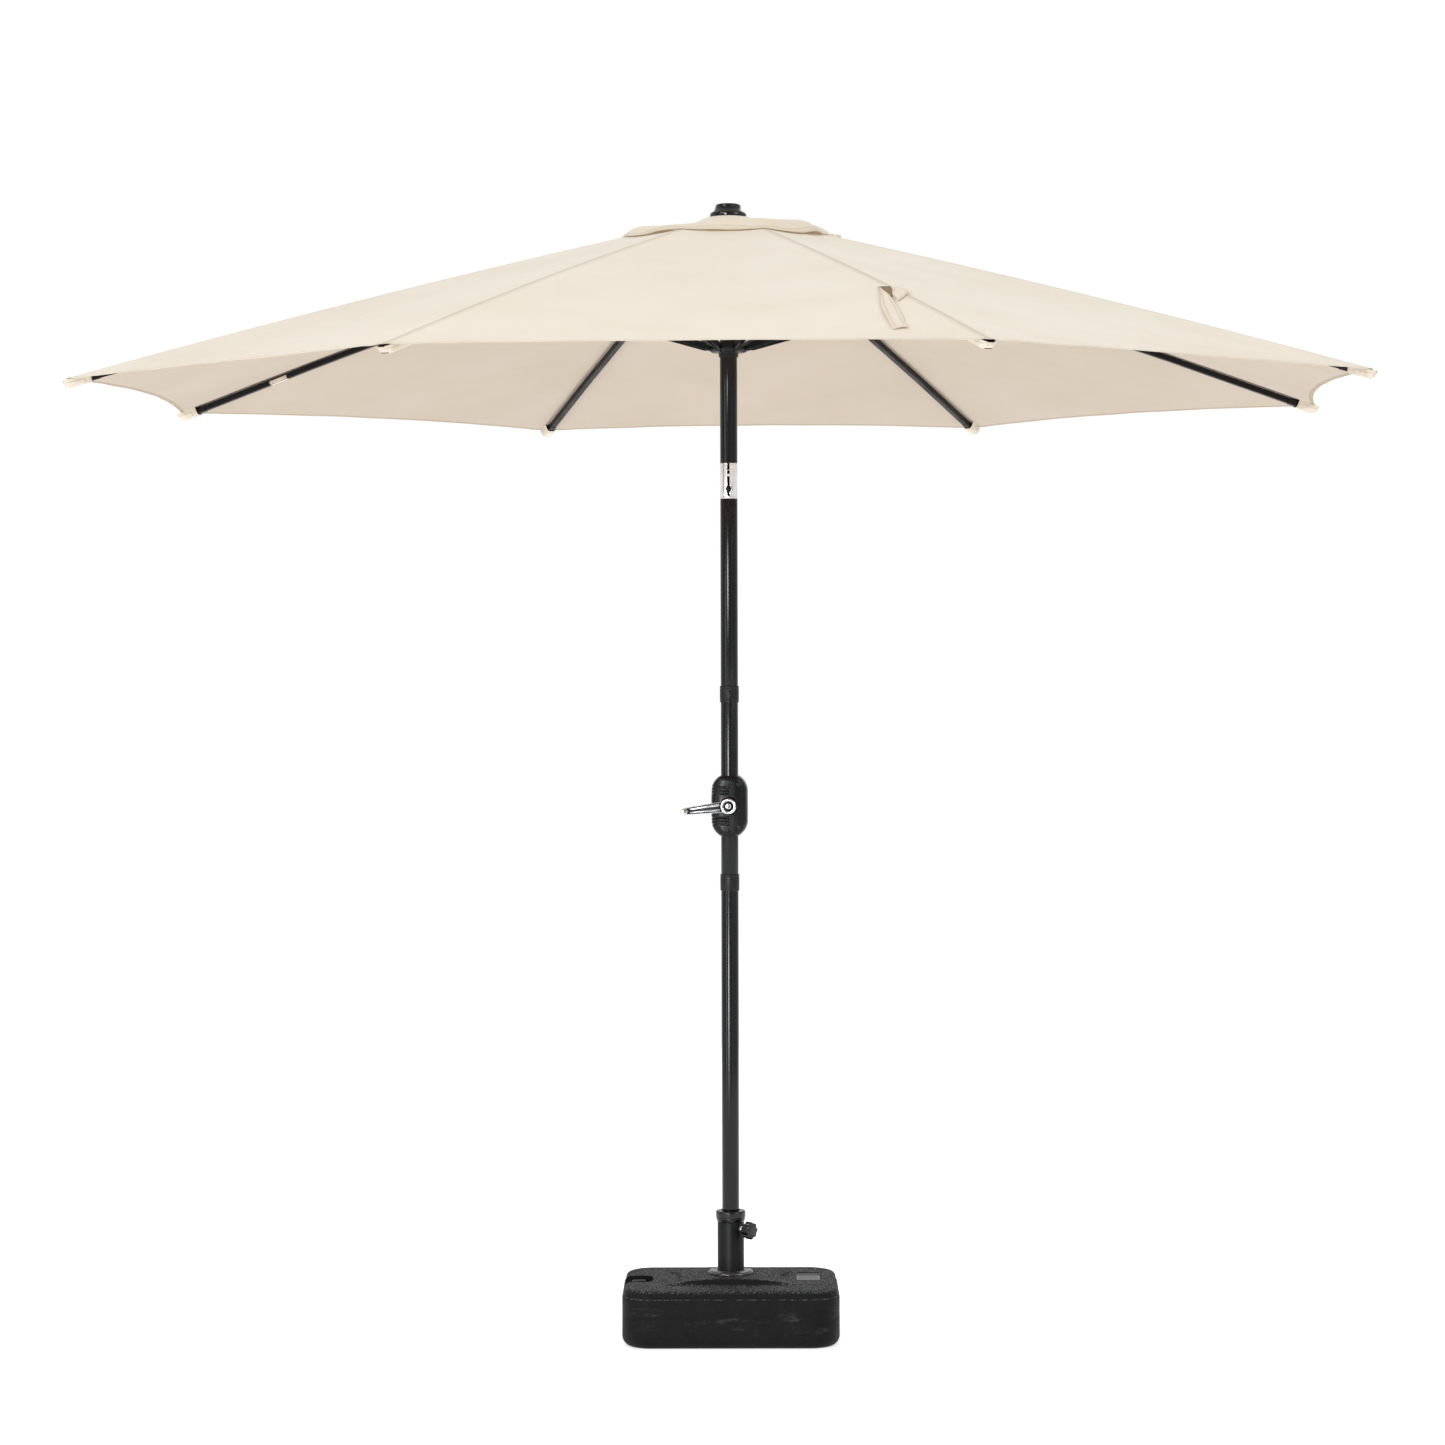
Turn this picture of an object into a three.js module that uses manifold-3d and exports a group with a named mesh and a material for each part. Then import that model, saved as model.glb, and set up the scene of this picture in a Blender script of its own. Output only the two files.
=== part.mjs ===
// Patio umbrella with a fillable base: crank lift, push-button tilt, eight folding ribs.
// Millimetres, +Z up, origin on the floor at the pole's axis, front of the umbrella towards -Y.
import * as THREE from 'three';
import { mergeVertices, toCreasedNormals } from 'three/addons/utils/BufferGeometryUtils.js';
import Module from 'manifold-3d';

const wasm = await Module();
wasm.setup();

// ---- driving dimensions ----
const GAP = 0.3;
const RAD = Math.PI / 180;
const CURVE_STEPS = 20;

// Canopy: eight ribs, flat panels between them, hem drawn in between the tips
const UMBRELLA_TURN = -3.42 * RAD;
const RIB_COUNT = 8;
const HALF_PANEL = 22.5 * RAD;
const TIP_RADIUS = 1449.5;
const TIP_HEIGHT = 2083.5;
const RIB_SLOPE = 0.30187;
const RIB_BOW = 2.1575e-5;
const HEM_SAG = 50;
const FABRIC = 1.5;
const VENT_HOLE_RADIUS = 118;
const VENT_FLAP_RADIUS = 245;

// Fold linkage: equal pivot radii, and each stretcher as long as the rib's inner arm
const PIVOT_RADIUS = 38;
const HUB_PIVOT_Z = 2452;
const RUNNER_PIVOT_Z = 2180;
const LINK_LENGTH = 496;
const LINK_ANGLE = Math.asin((HUB_PIVOT_Z - RUNNER_PIVOT_Z) / 2 / LINK_LENGTH);
const RIB_PIVOT_R = PIVOT_RADIUS + LINK_LENGTH * Math.cos(LINK_ANGLE);
const RIB_PIVOT_Z = (HUB_PIVOT_Z + RUNNER_PIVOT_Z) / 2;
const WIRE_RADIUS = 1.5;
const EYE_HOLE = 2.1;
const BLADE = 3;
const SLOT = 5;
const RIB_TOP_DEPTH = 4;
const RIB_START = 54;
const RIB_END = 1426;
const RIB_WIDTH = 12;
const RIB_DEPTH = 11;
const RIB_DEPTH_GAIN = 2;
const TUBE_WALL = 1.2;

// Pole: four lengths of the same tube
const POLE = 19;
const POLE_BORE = 17.6;
const POLE_FOOT = 24;
const COUPLER = 21;
const COUPLER_HEIGHT = 36.3;
const LOWER_COUPLER_Z = 987.6;
const UPPER_COUPLER_Z = 1402.7;
const TILT_BOTTOM = 1851.2;
const TILT_TOP = 1929.3;
const TILT_PIN_Z = 1903;
const TILT_BUTTON_Z = 1873;
const KNUCKLE_ARC = 50;
const TONGUE_HALF = 11;

// Crank box
const BOX_HALF_WIDTH = 40;
const BOX_HALF_DEPTH = 32;
const BOX_BOTTOM = 1108.5;
const BOX_TOP = 1242.1;
const BOX_WALL = 3;
const CRANK_Z = 1175.8;
const CRANK_FALL = 6.8 * RAD;
const CRANK_REACH = 95;
const SHAFT = 5;

// Base tank, foot tube and clamp
const BASE_HALF_X = 238;
const BASE_HALF_Y = 158.5;
const BASE_CORNER = 65;
const BASE_TOP = 127;
const BASE_WALL = 5;
const HUMP_TOP = 141;
const HUMP_HALF_X = 146;
const HUMP_WAIST = 112;
const HUMP_HALF_Y = 79;
const POST = 29.3;
const POST_BORE = 27.3;
const POST_FOOT = 15;
const POST_TOP = 254.7;
const COLLAR_TOP = 279.4;
const CLAMP_Z = 240;
const CLAMP_TURN = -42 * RAD;
const FILLER_X = -203;
const FILLER_FLOOR = 108;

// ---- finishes ----
const darkPole = { color: 0x232426, roughness: 0.42, metalness: 0.6 };
const darkPlastic = { color: 0x1c1d1f, roughness: 0.5, metalness: 0 };
const glossPlastic = { color: 0x111213, roughness: 0.22, metalness: 0 };
const chrome = { color: 0xc9cbcd, roughness: 0.16, metalness: 1 };
const steel = { color: 0x1b1c1e, roughness: 0.45, metalness: 0.5 };
const cream = { color: 0xefe7db, roughness: 0.9, metalness: 0 };
const creamShade = { color: 0xe8dcc9, roughness: 0.9, metalness: 0 };
const tankPlastic = { color: 0x2d2e30, roughness: 0.62, metalness: 0 };
const water = { color: 0x9fb6c0, roughness: 0.2, metalness: 0 };

const part = new THREE.Group();
part.name = 'patio_umbrella';

// ---- solids ----
function signedVolume(positions, index) {
  const corners = [new THREE.Vector3(), new THREE.Vector3(), new THREE.Vector3()];
  let total = 0;
  for (let i = 0; i < index.length; i += 3) {
    corners.forEach((corner, k) => corner.fromArray(positions, index[i + k] * 3));
    total += corners[0].dot(corners[1].cross(corners[2]));
  }
  return total;
}

function toSolid(geometry) {
  const bare = geometry.clone();
  bare.deleteAttribute('normal');
  bare.deleteAttribute('uv');
  const merged = mergeVertices(bare, 1e-4);
  const positions = merged.attributes.position.array;
  const kept = [];
  for (let i = 0; i < merged.index.count; i += 3) {
    const [a, b, c] = [0, 1, 2].map((k) => merged.index.getX(i + k));
    if (a !== b && b !== c && c !== a) kept.push(a, b, c);
  }
  if (signedVolume(positions, kept) < 0) kept.reverse();
  const mesh = new wasm.Mesh({
    numProp: 3,
    vertProperties: Float32Array.from(positions),
    triVerts: Uint32Array.from(kept),
  });
  return new wasm.Manifold(mesh);
}

function toGeometry(solid) {
  const mesh = solid.getMesh();
  const geometry = new THREE.BufferGeometry();
  geometry.setAttribute('position', new THREE.BufferAttribute(Float32Array.from(mesh.vertProperties), 3));
  geometry.setIndex(new THREE.BufferAttribute(Uint32Array.from(mesh.triVerts), 1));
  return geometry;
}

function place(name, solid, finish, turn = 0) {
  const geometry = toGeometry(solid).rotateZ(turn);
  const mesh = new THREE.Mesh(toCreasedNormals(geometry, 32 * RAD), new THREE.MeshStandardMaterial(finish));
  mesh.name = name;
  part.add(mesh);
}

function add(first, ...rest) {
  return rest.reduce((sum, solid) => sum.add(solid), first);
}

function cut(first, ...rest) {
  return rest.reduce((left, solid) => left.subtract(solid), first);
}

function lathe(points, steps = CURVE_STEPS) {
  const profile = points.map(([r, z]) => new THREE.Vector2(r, z));
  return new THREE.LatheGeometry(profile, steps).rotateX(Math.PI / 2);
}

function turned(points, steps) {
  return toSolid(lathe(points, steps));
}

function rod(radius, bottom, top, steps) {
  return turned([[0, bottom], [radius, bottom], [radius, top], [0, top]], steps);
}

function tube(inner, outer, bottom, top, steps) {
  return turned([[inner, bottom], [outer, bottom], [outer, top], [inner, top], [inner, bottom]], steps);
}

// A rod pointing along +X or towards -Y, through a given height
function rodAlongX(radius, from, to, z, steps = 16) {
  const points = [[0, from], [radius, from], [radius, to], [0, to]];
  return toSolid(lathe(points, steps).rotateY(Math.PI / 2).translate(0, 0, z));
}

function rodTowardsFront(radius, from, to, z, x = 0, steps = 16) {
  const points = [[0, from], [radius, from], [radius, to], [0, to]];
  return toSolid(lathe(points, steps).rotateX(Math.PI / 2).translate(x, 0, z));
}

function box(x0, x1, y0, y1, z0, z1) {
  const geometry = new THREE.BoxGeometry(x1 - x0, y1 - y0, z1 - z0);
  return toSolid(geometry.translate((x0 + x1) / 2, (y0 + y1) / 2, (z0 + z1) / 2));
}

function outline(points) {
  return new THREE.Shape(points.map(([x, y]) => new THREE.Vector2(x, y)));
}

// A flat outline in X and Z, thickened along Y from one depth to another
function slab(shape, y0, y1, bevel = 0, curveSegments = 7, bevelSegments = 2) {
  const options = {
    depth: y1 - y0 - 2 * bevel,
    bevelEnabled: bevel > 0,
    bevelThickness: bevel,
    bevelSize: bevel,
    bevelOffset: -bevel,
    bevelSegments,
    curveSegments,
  };
  return new THREE.ExtrudeGeometry(shape, options).rotateX(Math.PI / 2).translate(0, y1 - bevel, 0);
}

// Closed rings of equal length, joined in order; the first and last rings are filled as fans
function stacked(rings) {
  const count = rings[0].length;
  const positions = rings.flat(2);
  const index = [];
  for (let level = 0; level < rings.length - 1; level += 1) {
    for (let j = 0; j < count; j += 1) {
      const a = level * count + j;
      const b = level * count + (j + 1) % count;
      index.push(a, b, b + count, a, b + count, a + count);
    }
  }
  const last = (rings.length - 1) * count;
  for (let j = 1; j < count - 1; j += 1) {
    index.push(0, j + 1, j);
    index.push(last, last + j, last + j + 1);
  }
  const geometry = new THREE.BufferGeometry();
  geometry.setAttribute('position', new THREE.Float32BufferAttribute(positions, 3));
  geometry.setIndex(index);
  return geometry;
}

// A sheet given by its upper surface (rows by columns), thickened straight down
function sheet(rows, columns, surface, thickness) {
  const positions = [];
  for (const drop of [0, thickness]) {
    for (let i = 0; i <= rows; i += 1) {
      for (let j = 0; j <= columns; j += 1) {
        const [x, y, z] = surface(i / rows, j / columns);
        positions.push(x, y, z - drop);
      }
    }
  }
  const width = columns + 1;
  const under = (rows + 1) * width;
  const index = [];
  for (let i = 0; i < rows; i += 1) {
    for (let j = 0; j < columns; j += 1) {
      const a = i * width + j;
      index.push(a, a + width, a + width + 1, a, a + width + 1, a + 1);
      const b = a + under;
      index.push(b, b + width + 1, b + width, b, b + 1, b + width + 1);
    }
  }
  const edge = [];
  for (let j = 0; j < columns; j += 1) edge.push(j);
  for (let i = 0; i < rows; i += 1) edge.push(i * width + columns);
  for (let j = columns; j > 0; j -= 1) edge.push(rows * width + j);
  for (let i = rows; i > 0; i -= 1) edge.push(i * width);
  edge.forEach((a, k) => {
    const b = edge[(k + 1) % edge.length];
    index.push(a, b, b + under, a, b + under, a + under);
  });
  const geometry = new THREE.BufferGeometry();
  geometry.setAttribute('position', new THREE.Float32BufferAttribute(positions, 3));
  geometry.setIndex(index);
  return geometry;
}

// ---- base tank ----
function roundedStack(levels) {
  const steps = 5;
  return stacked(levels.map(([inset, z]) => {
    const ring = [];
    for (let corner = 0; corner < 4; corner += 1) {
      const sideX = corner === 0 || corner === 3 ? 1 : -1;
      const sideY = corner < 2 ? 1 : -1;
      for (let k = 0; k <= steps; k += 1) {
        const angle = (corner + k / steps) * 90 * RAD;
        const x = sideX * (BASE_HALF_X - BASE_CORNER) + (BASE_CORNER - inset) * Math.cos(angle);
        const y = sideY * (BASE_HALF_Y - BASE_CORNER) + (BASE_CORNER - inset) * Math.sin(angle);
        ring.push([x, y, z]);
      }
    }
    return ring;
  }));
}

// Arched rise round the foot tube, narrower at its waist than at its front and back
function hump(inset) {
  const radius = (HUMP_HALF_X ** 2 + (HUMP_TOP - BASE_TOP) ** 2) / (2 * (HUMP_TOP - BASE_TOP));
  const arch = [];
  const plan = [];
  const steps = 8;
  for (let k = 0; k <= steps; k += 1) {
    const x = HUMP_HALF_X * (1 - 2 * k / steps);
    arch.push([x, HUMP_TOP - inset - radius + Math.sqrt(radius ** 2 - x ** 2)]);
  }
  arch.push([-HUMP_HALF_X, BASE_TOP - 12], [HUMP_HALF_X, BASE_TOP - 12]);
  for (const side of [1, -1]) {
    for (let k = 0; k <= steps / 2; k += 1) {
      const y = side * (HUMP_HALF_Y - inset) * (1 - 4 * k / steps);
      const x = HUMP_WAIST + (HUMP_HALF_X - HUMP_WAIST) * (y / HUMP_HALF_Y) ** 2;
      plan.push([side * (x - inset), y]);
    }
  }
  const along = toSolid(slab(outline(arch), -HUMP_HALF_Y, HUMP_HALF_Y));
  const upright = new THREE.ExtrudeGeometry(outline(plan), { depth: 60, bevelEnabled: false });
  return along.intersect(toSolid(upright.translate(0, 0, BASE_TOP - 30)));
}

// Room inside the tank, kept clear of its walls, the well, the filler recess and the plate recess
function tankRoom(clear) {
  const wall = BASE_WALL + clear;
  const room = toSolid(roundedStack([
    [wall + 12, wall],
    [wall + 4, 12],
    [wall, 21],
    [wall, 108],
    [wall + 4, 117],
    [wall + 11, BASE_TOP - wall],
  ]));
  return cut(
    add(room, hump(wall)),
    rod(POST + GAP + 5 + clear, -1, 200),
    box(-260, FILLER_X + 36 + clear, -45 - clear, 45 + clear, FILLER_FLOOR - wall, 200),
    box(141 - clear, 202 + clear, 62 - clear, 80 + clear, 113 - clear, 200),
  );
}

const tankShell = toSolid(roundedStack([
  [20, 0],
  [9, 3.4],
  [3, 10],
  [0, 20],
  [0, 64],
  [1, 65.5],
  [1, 67.5],
  [0, 69],
  [0, 112],
  [1.6, 118.5],
  [5, 123.8],
  [11, BASE_TOP],
]));
place('base_tank', cut(
  add(tankShell, hump(0), rod(50, BASE_TOP - 3, HUMP_TOP)),
  tankRoom(0),
  rod(POST + GAP, POST_FOOT, 200),
  box(-260, FILLER_X + 31, -40, 40, FILLER_FLOOR, 200),
  toSolid(lathe([[0, 90], [14, 90], [14, 120], [0, 120]], 16).translate(FILLER_X, 0, 0)),
  box(146, 197, -14, 70, BASE_TOP - 3, 200),
  box(146, 197, 69, 75, BASE_TOP - 9, 200),
  box(BASE_HALF_X - 3, BASE_HALF_X + 5, -70, -50, 69, 77),
), tankPlastic);
place('water_fill', tankRoom(GAP), water);

const plug = cut(
  turned([[0, 103.5], [13.6, 103.5], [13.6, 108.3], [19, 108.3], [19, 115], [17.5, 117], [0, 117]], 20),
  box(-20, 20, -11, -4, 113, 120),
  box(-20, 20, 4, 11, 113, 120),
);
place('fill_plug', toSolid(toGeometry(plug).translate(FILLER_X, 0, 0)), darkPlastic);
place('base_plate', box(146.4, 196.6, -13.6, 68.6, BASE_TOP - 2.7, BASE_TOP - 0.4), darkPlastic);

const seat = HUMP_TOP + GAP;
place('foot_ring', turned([
  [POST + GAP, seat],
  [49, seat],
  [49, seat + 3],
  [46, seat + 6.2],
  [36, seat + 7],
  [POST + GAP, seat + 7],
  [POST + GAP, seat],
]), glossPlastic);

// ---- foot tube, its bushes and the clamp ----
const clampHole = toSolid(lathe([[0, 10], [5, 10], [5, 60], [0, 60]], 16)
  .rotateY(Math.PI / 2).rotateZ(CLAMP_TURN).translate(0, 0, CLAMP_Z));
place('post_tube', cut(tube(POST_BORE, POST, POST_FOOT + GAP, POST_TOP), clampHole), darkPole);
place('post_bush', turned([
  [0, POST_FOOT + 0.6],
  [POST_BORE - GAP, POST_FOOT + 0.6],
  [POST_BORE - GAP, 60],
  [POLE + 0.4, 60],
  [POLE + 0.4, POLE_FOOT],
  [0, POLE_FOOT],
]), darkPlastic);
place('post_collar', cut(turned([
  [POLE + 0.4, 215],
  [POST_BORE - GAP, 215],
  [POST_BORE - GAP, POST_TOP + GAP],
  [33, POST_TOP + GAP],
  [33, COLLAR_TOP - 3],
  [31, COLLAR_TOP],
  [22, COLLAR_TOP],
  [POLE + 0.4, COLLAR_TOP - 2],
  [POLE + 0.4, 215],
]), clampHole), glossPlastic);

function placeOnClamp(name, solid, finish) {
  place(name, toSolid(toGeometry(solid).translate(0, 0, CLAMP_Z)), finish, CLAMP_TURN);
}

placeOnClamp('clamp_nut', cut(rodAlongX(9, 29.8, 37, 0, 6), rodAlongX(4.4, 20, 40, 0)), chrome);
placeOnClamp('clamp_screw', rodAlongX(4, POLE + 0.35, 56, 0), chrome);

const lobes = [];
for (let k = 0; k < 40; k += 1) {
  const angle = k * 2 * Math.PI / 40;
  const radius = 18.4 + 1.1 * Math.cos(8 * angle);
  lobes.push([radius * Math.cos(angle), radius * Math.sin(angle)]);
}
const knobOptions = { depth: 14, bevelThickness: 2, bevelSize: 2, bevelOffset: -2, bevelSegments: 1 };
const knobHead = new THREE.ExtrudeGeometry(outline(lobes), knobOptions).rotateY(Math.PI / 2).translate(48, 0, 0);
placeOnClamp('clamp_knob', cut(
  add(toSolid(knobHead), rodAlongX(9, 41, 48, 0)),
  rodAlongX(4.35, 35, 56.6, 0),
), glossPlastic);

// ---- pole ----
function placeOnPole(name, solid, finish) {
  place(name, solid, finish, UMBRELLA_TURN);
}

function placeCoupler(name, bottom) {
  const web = bottom + COUPLER_HEIGHT / 2;
  placeOnPole(name, turned([
    [14, web - 45],
    [POLE_BORE - GAP, web - 45],
    [POLE_BORE - GAP, web - 1.5],
    [POLE + GAP, web - 1.5],
    [POLE + GAP, bottom],
    [COUPLER, bottom],
    [COUPLER, bottom + COUPLER_HEIGHT],
    [POLE + GAP, bottom + COUPLER_HEIGHT],
    [POLE + GAP, web + 1.5],
    [POLE_BORE - GAP, web + 1.5],
    [POLE_BORE - GAP, web + 45],
    [14, web + 45],
    [14, web - 45],
  ]), darkPlastic);
  return [web - 1.5 - GAP, web + 1.5 + GAP];
}

const [lowerEnd, midStart] = placeCoupler('lower_coupler', LOWER_COUPLER_Z);
const [midEnd, upperStart] = placeCoupler('upper_coupler', UPPER_COUPLER_Z);
placeOnPole('lower_pole', tube(POLE_BORE, POLE, POLE_FOOT + GAP, lowerEnd), darkPole);
placeOnPole('mid_pole', cut(
  tube(POLE_BORE, POLE, midStart, midEnd),
  rodTowardsFront(SHAFT + GAP, -30, 30, CRANK_Z),
), darkPole);
placeOnPole('upper_pole', tube(POLE_BORE, POLE, upperStart, TILT_BOTTOM - GAP), darkPole);
placeOnPole('top_pole', tube(POLE_BORE, POLE, TILT_TOP + GAP, HUB_PIVOT_Z - 6), darkPole);

// ---- crank box ----
function capsule(radius, bottom, top) {
  const shape = new THREE.Shape();
  shape.absarc(0, top - radius, radius, 0, Math.PI, false);
  shape.absarc(0, bottom + radius, radius, Math.PI, 2 * Math.PI, false);
  return shape;
}

const boxOuter = toSolid(slab(capsule(BOX_HALF_WIDTH, BOX_BOTTOM, BOX_TOP), -BOX_HALF_DEPTH, BOX_HALF_DEPTH, 8));
const boxInner = toSolid(slab(
  capsule(BOX_HALF_WIDTH - BOX_WALL, BOX_BOTTOM + BOX_WALL, BOX_TOP - BOX_WALL),
  BOX_WALL - BOX_HALF_DEPTH,
  BOX_HALF_DEPTH - BOX_WALL,
  6,
  6,
  1,
));
const boxBoss = rodTowardsFront(18, BOX_HALF_DEPTH - 3, 45.4, CRANK_Z, 0, 16);
const boxRoom = cut(boxInner, rod(23, BOX_BOTTOM, BOX_BOTTOM + 16), rod(23, BOX_TOP - 16, BOX_TOP));
const boxBody = cut(
  add(boxOuter, boxBoss),
  boxRoom,
  rod(POLE + GAP, 1000, 1300),
  rodTowardsFront(SHAFT + 0.4, 20, 60, CRANK_Z),
);
const screwHoles = [BOX_BOTTOM + 20, BOX_TOP - 20].map((z) => {
  const wide = rodTowardsFront(4.6, BOX_HALF_DEPTH - 2, 40, z, 20);
  return wide.add(rodTowardsFront(1.9, 22, 40, z, 20, 12));
});
placeOnPole('crank_box_left', cut(boxBody, box(-GAP / 2, 60, -60, 60, 1000, 1300)), darkPlastic);
placeOnPole('crank_box_right', cut(
  boxBody,
  box(-60, GAP / 2, -60, 60, 1000, 1300),
  ...screwHoles,
), darkPlastic);
placeOnPole('crank_box_screw', cut(
  add(
    rodTowardsFront(4.2, BOX_HALF_DEPTH - 1.7, BOX_HALF_DEPTH - 0.2, BOX_TOP - 20, 20),
    rodTowardsFront(1.5, 23, BOX_HALF_DEPTH - 1, BOX_TOP - 20, 20, 12),
  ),
  box(16, 24, -33, -31.4, BOX_TOP - 20.5, BOX_TOP - 19.5),
  box(19.5, 20.5, -33, -31.4, BOX_TOP - 24, BOX_TOP - 16),
), chrome);

const shaft = lathe([
  [0, -24],
  [SHAFT, -24],
  [SHAFT, -11],
  [11.5, -11],
  [11.5, -9],
  [6.5, -9],
  [6.5, 9],
  [11.5, 9],
  [11.5, 11],
  [SHAFT, 11],
  [SHAFT, 51],
  [0, 51],
], 16);
placeOnPole('crank_shaft', toSolid(shaft.rotateX(Math.PI / 2).translate(0, 0, CRANK_Z)), chrome);

// Crank arm built pointing along +X, then swung to the left and a little down
const armOutline = new THREE.Shape();
const armLean = Math.asin((13 - 7.5) / CRANK_REACH);
armOutline.absarc(0, 0, 13, Math.PI / 2 - armLean, 3 * Math.PI / 2 + armLean, false);
armOutline.absarc(CRANK_REACH, 0, 7.5, -Math.PI / 2 + armLean, Math.PI / 2 - armLean, false);
const armSwing = Math.PI + CRANK_FALL;
const arm = cut(
  add(
    toSolid(slab(armOutline, -57, -47, 1.2, 6, 1)),
    rodTowardsFront(17, 45.8, 58, 0, 0, 24),
    rodTowardsFront(3, 55, 88, 0, CRANK_REACH, 12),
  ),
  rodTowardsFront(11, 55.5, 60, 0, 0, 20),
  rodTowardsFront(SHAFT + GAP, 40, 51.4, 0),
  box(20, CRANK_REACH - 12, -60, -56, 2.2, 4),
  box(20, CRANK_REACH - 12, -60, -56, -4, -2.2),
);
function swung(solid) {
  return toSolid(toGeometry(solid).rotateY(-armSwing).translate(0, 0, CRANK_Z));
}
placeOnPole('crank_arm', swung(arm), chrome);
const grip = lathe([
  [3.3, 58],
  [6, 58],
  [7.4, 62],
  [6.6, 74],
  [7.4, 92],
  [5, 97],
  [0, 98],
  [0, 89],
  [3.3, 89],
  [3.3, 58],
], 16);
placeOnPole('crank_grip', swung(toSolid(grip.rotateX(Math.PI / 2).translate(CRANK_REACH, 0, 0))), darkPlastic);

// ---- tilt knuckle ----
function teardrop(radius) {
  const shape = new THREE.Shape();
  shape.absarc(0, TILT_BUTTON_Z, radius, -25 * RAD, 205 * RAD, false);
  shape.lineTo(0, TILT_BUTTON_Z - radius * 2.1);
  return shape;
}

const tongue = add(
  box(-2.2, 2.2, -TONGUE_HALF, TONGUE_HALF, TILT_BOTTOM - 1, TILT_PIN_Z),
  rodAlongX(TONGUE_HALF, -2.2, 2.2, TILT_PIN_Z, 24),
);
placeOnPole('tilt_base', cut(
  add(
    rod(POLE_BORE - GAP, TILT_BOTTOM - 34, TILT_BOTTOM + 0.2),
    cut(rod(POLE, TILT_BOTTOM, TILT_BOTTOM + 10), rodAlongX(KNUCKLE_ARC + 0.6, -30, 30, TILT_PIN_Z, 64)),
    tongue,
  ),
  rodAlongX(3.3, -30, 30, TILT_PIN_Z),
), chrome);
placeOnPole('tilt_fork', cut(
  add(
    rod(POLE, TILT_BOTTOM - 5, TILT_TOP).intersect(rodAlongX(KNUCKLE_ARC, -30, 30, TILT_PIN_Z, 64)),
    rod(POLE_BORE - GAP, TILT_TOP - 1, TILT_TOP + 32),
  ),
  box(-2.6, 2.6, -20, 20, 1800, TILT_PIN_Z + TONGUE_HALF + 1),
  rodAlongX(3.3, -30, 30, TILT_PIN_Z),
  rodTowardsFront(10.5, 17.9, 30, TILT_BUTTON_Z - 1),
  toSolid(slab(teardrop(5.9), -30, -11)),
), chrome);
placeOnPole('tilt_pin', rodAlongX(3, -18.4, 18.4, TILT_PIN_Z), chrome);
placeOnPole('tilt_button', toSolid(slab(teardrop(5.5), -20.8, -14.6, 0.6)), glossPlastic);

// ---- hub, runner and finial ----
function slots(bottom, top) {
  return Array.from({ length: RIB_COUNT }, (_, i) => {
    const geometry = new THREE.BoxGeometry(20, SLOT, top - bottom);
    return toSolid(geometry.translate(41.5, 0, (bottom + top) / 2).rotateZ(ribTurn(i)));
  });
}

function wireRing(radius, z) {
  return toSolid(new THREE.TorusGeometry(PIVOT_RADIUS, radius, 5, 16).translate(0, 0, z));
}

// Turn about +Z that carries +X to a rib's azimuth; rib 1 is the front one on the left
function ribTurn(i) {
  return (i * 45 - 22.5 - 90) * RAD;
}

placeOnPole('top_hub', cut(
  turned([
    [0, HUB_PIVOT_Z - 5.5],
    [POLE + GAP, HUB_PIVOT_Z - 5.5],
    [POLE + GAP, HUB_PIVOT_Z - 28],
    [24, HUB_PIVOT_Z - 28],
    [24, HUB_PIVOT_Z - 8],
    [46, HUB_PIVOT_Z - 8],
    [46, HUB_PIVOT_Z + 7],
    [43, HUB_PIVOT_Z + 10],
    [0, HUB_PIVOT_Z + 10],
  ]),
  ...slots(HUB_PIVOT_Z - 12, HUB_PIVOT_Z + 7.4),
  wireRing(WIRE_RADIUS + 0.4, HUB_PIVOT_Z),
), darkPlastic);
placeOnPole('hub_wire', wireRing(WIRE_RADIUS, HUB_PIVOT_Z), chrome);

const finialFoot = HUB_PIVOT_Z + 21;
placeOnPole('finial', turned([
  [0, HUB_PIVOT_Z + 10.3],
  [5, HUB_PIVOT_Z + 10.3],
  [5, finialFoot],
  [39, finialFoot],
  [39, finialFoot + 2],
  [34.5, finialFoot + 5.5],
  [31, finialFoot + 9.5],
  [28.6, finialFoot + 14.5],
  [28.6, finialFoot + 22],
  [26, finialFoot + 24.5],
  [0, finialFoot + 24.5],
]), glossPlastic);

const knuckleRim = [];
for (let k = 0; k <= 4; k += 1) {
  const angle = (k / 4 - 0.5) * Math.PI;
  knuckleRim.push([34 + 8.2 * Math.cos(angle), RUNNER_PIVOT_Z + 8.2 * Math.sin(angle)]);
}
placeOnPole('runner', cut(
  turned([
    [POLE + 0.6, RUNNER_PIVOT_Z - 18],
    [21.5, RUNNER_PIVOT_Z - 18],
    [21.5, RUNNER_PIVOT_Z - 8.2],
    ...knuckleRim,
    [30, RUNNER_PIVOT_Z + 15],
    [POLE + 0.6, RUNNER_PIVOT_Z + 15],
    [POLE + 0.6, RUNNER_PIVOT_Z - 18],
  ]),
  ...slots(RUNNER_PIVOT_Z - 12, RUNNER_PIVOT_Z + 20),
  wireRing(WIRE_RADIUS + 0.4, RUNNER_PIVOT_Z),
), darkPlastic);
placeOnPole('runner_wire', wireRing(WIRE_RADIUS, RUNNER_PIVOT_Z), chrome);

// ---- ribs and stretchers, built with +X outward and +Z up ----
function ridge(r) {
  const run = TIP_RADIUS - r;
  return TIP_HEIGHT + RIB_SLOPE * run - RIB_BOW * run ** 2;
}

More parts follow.
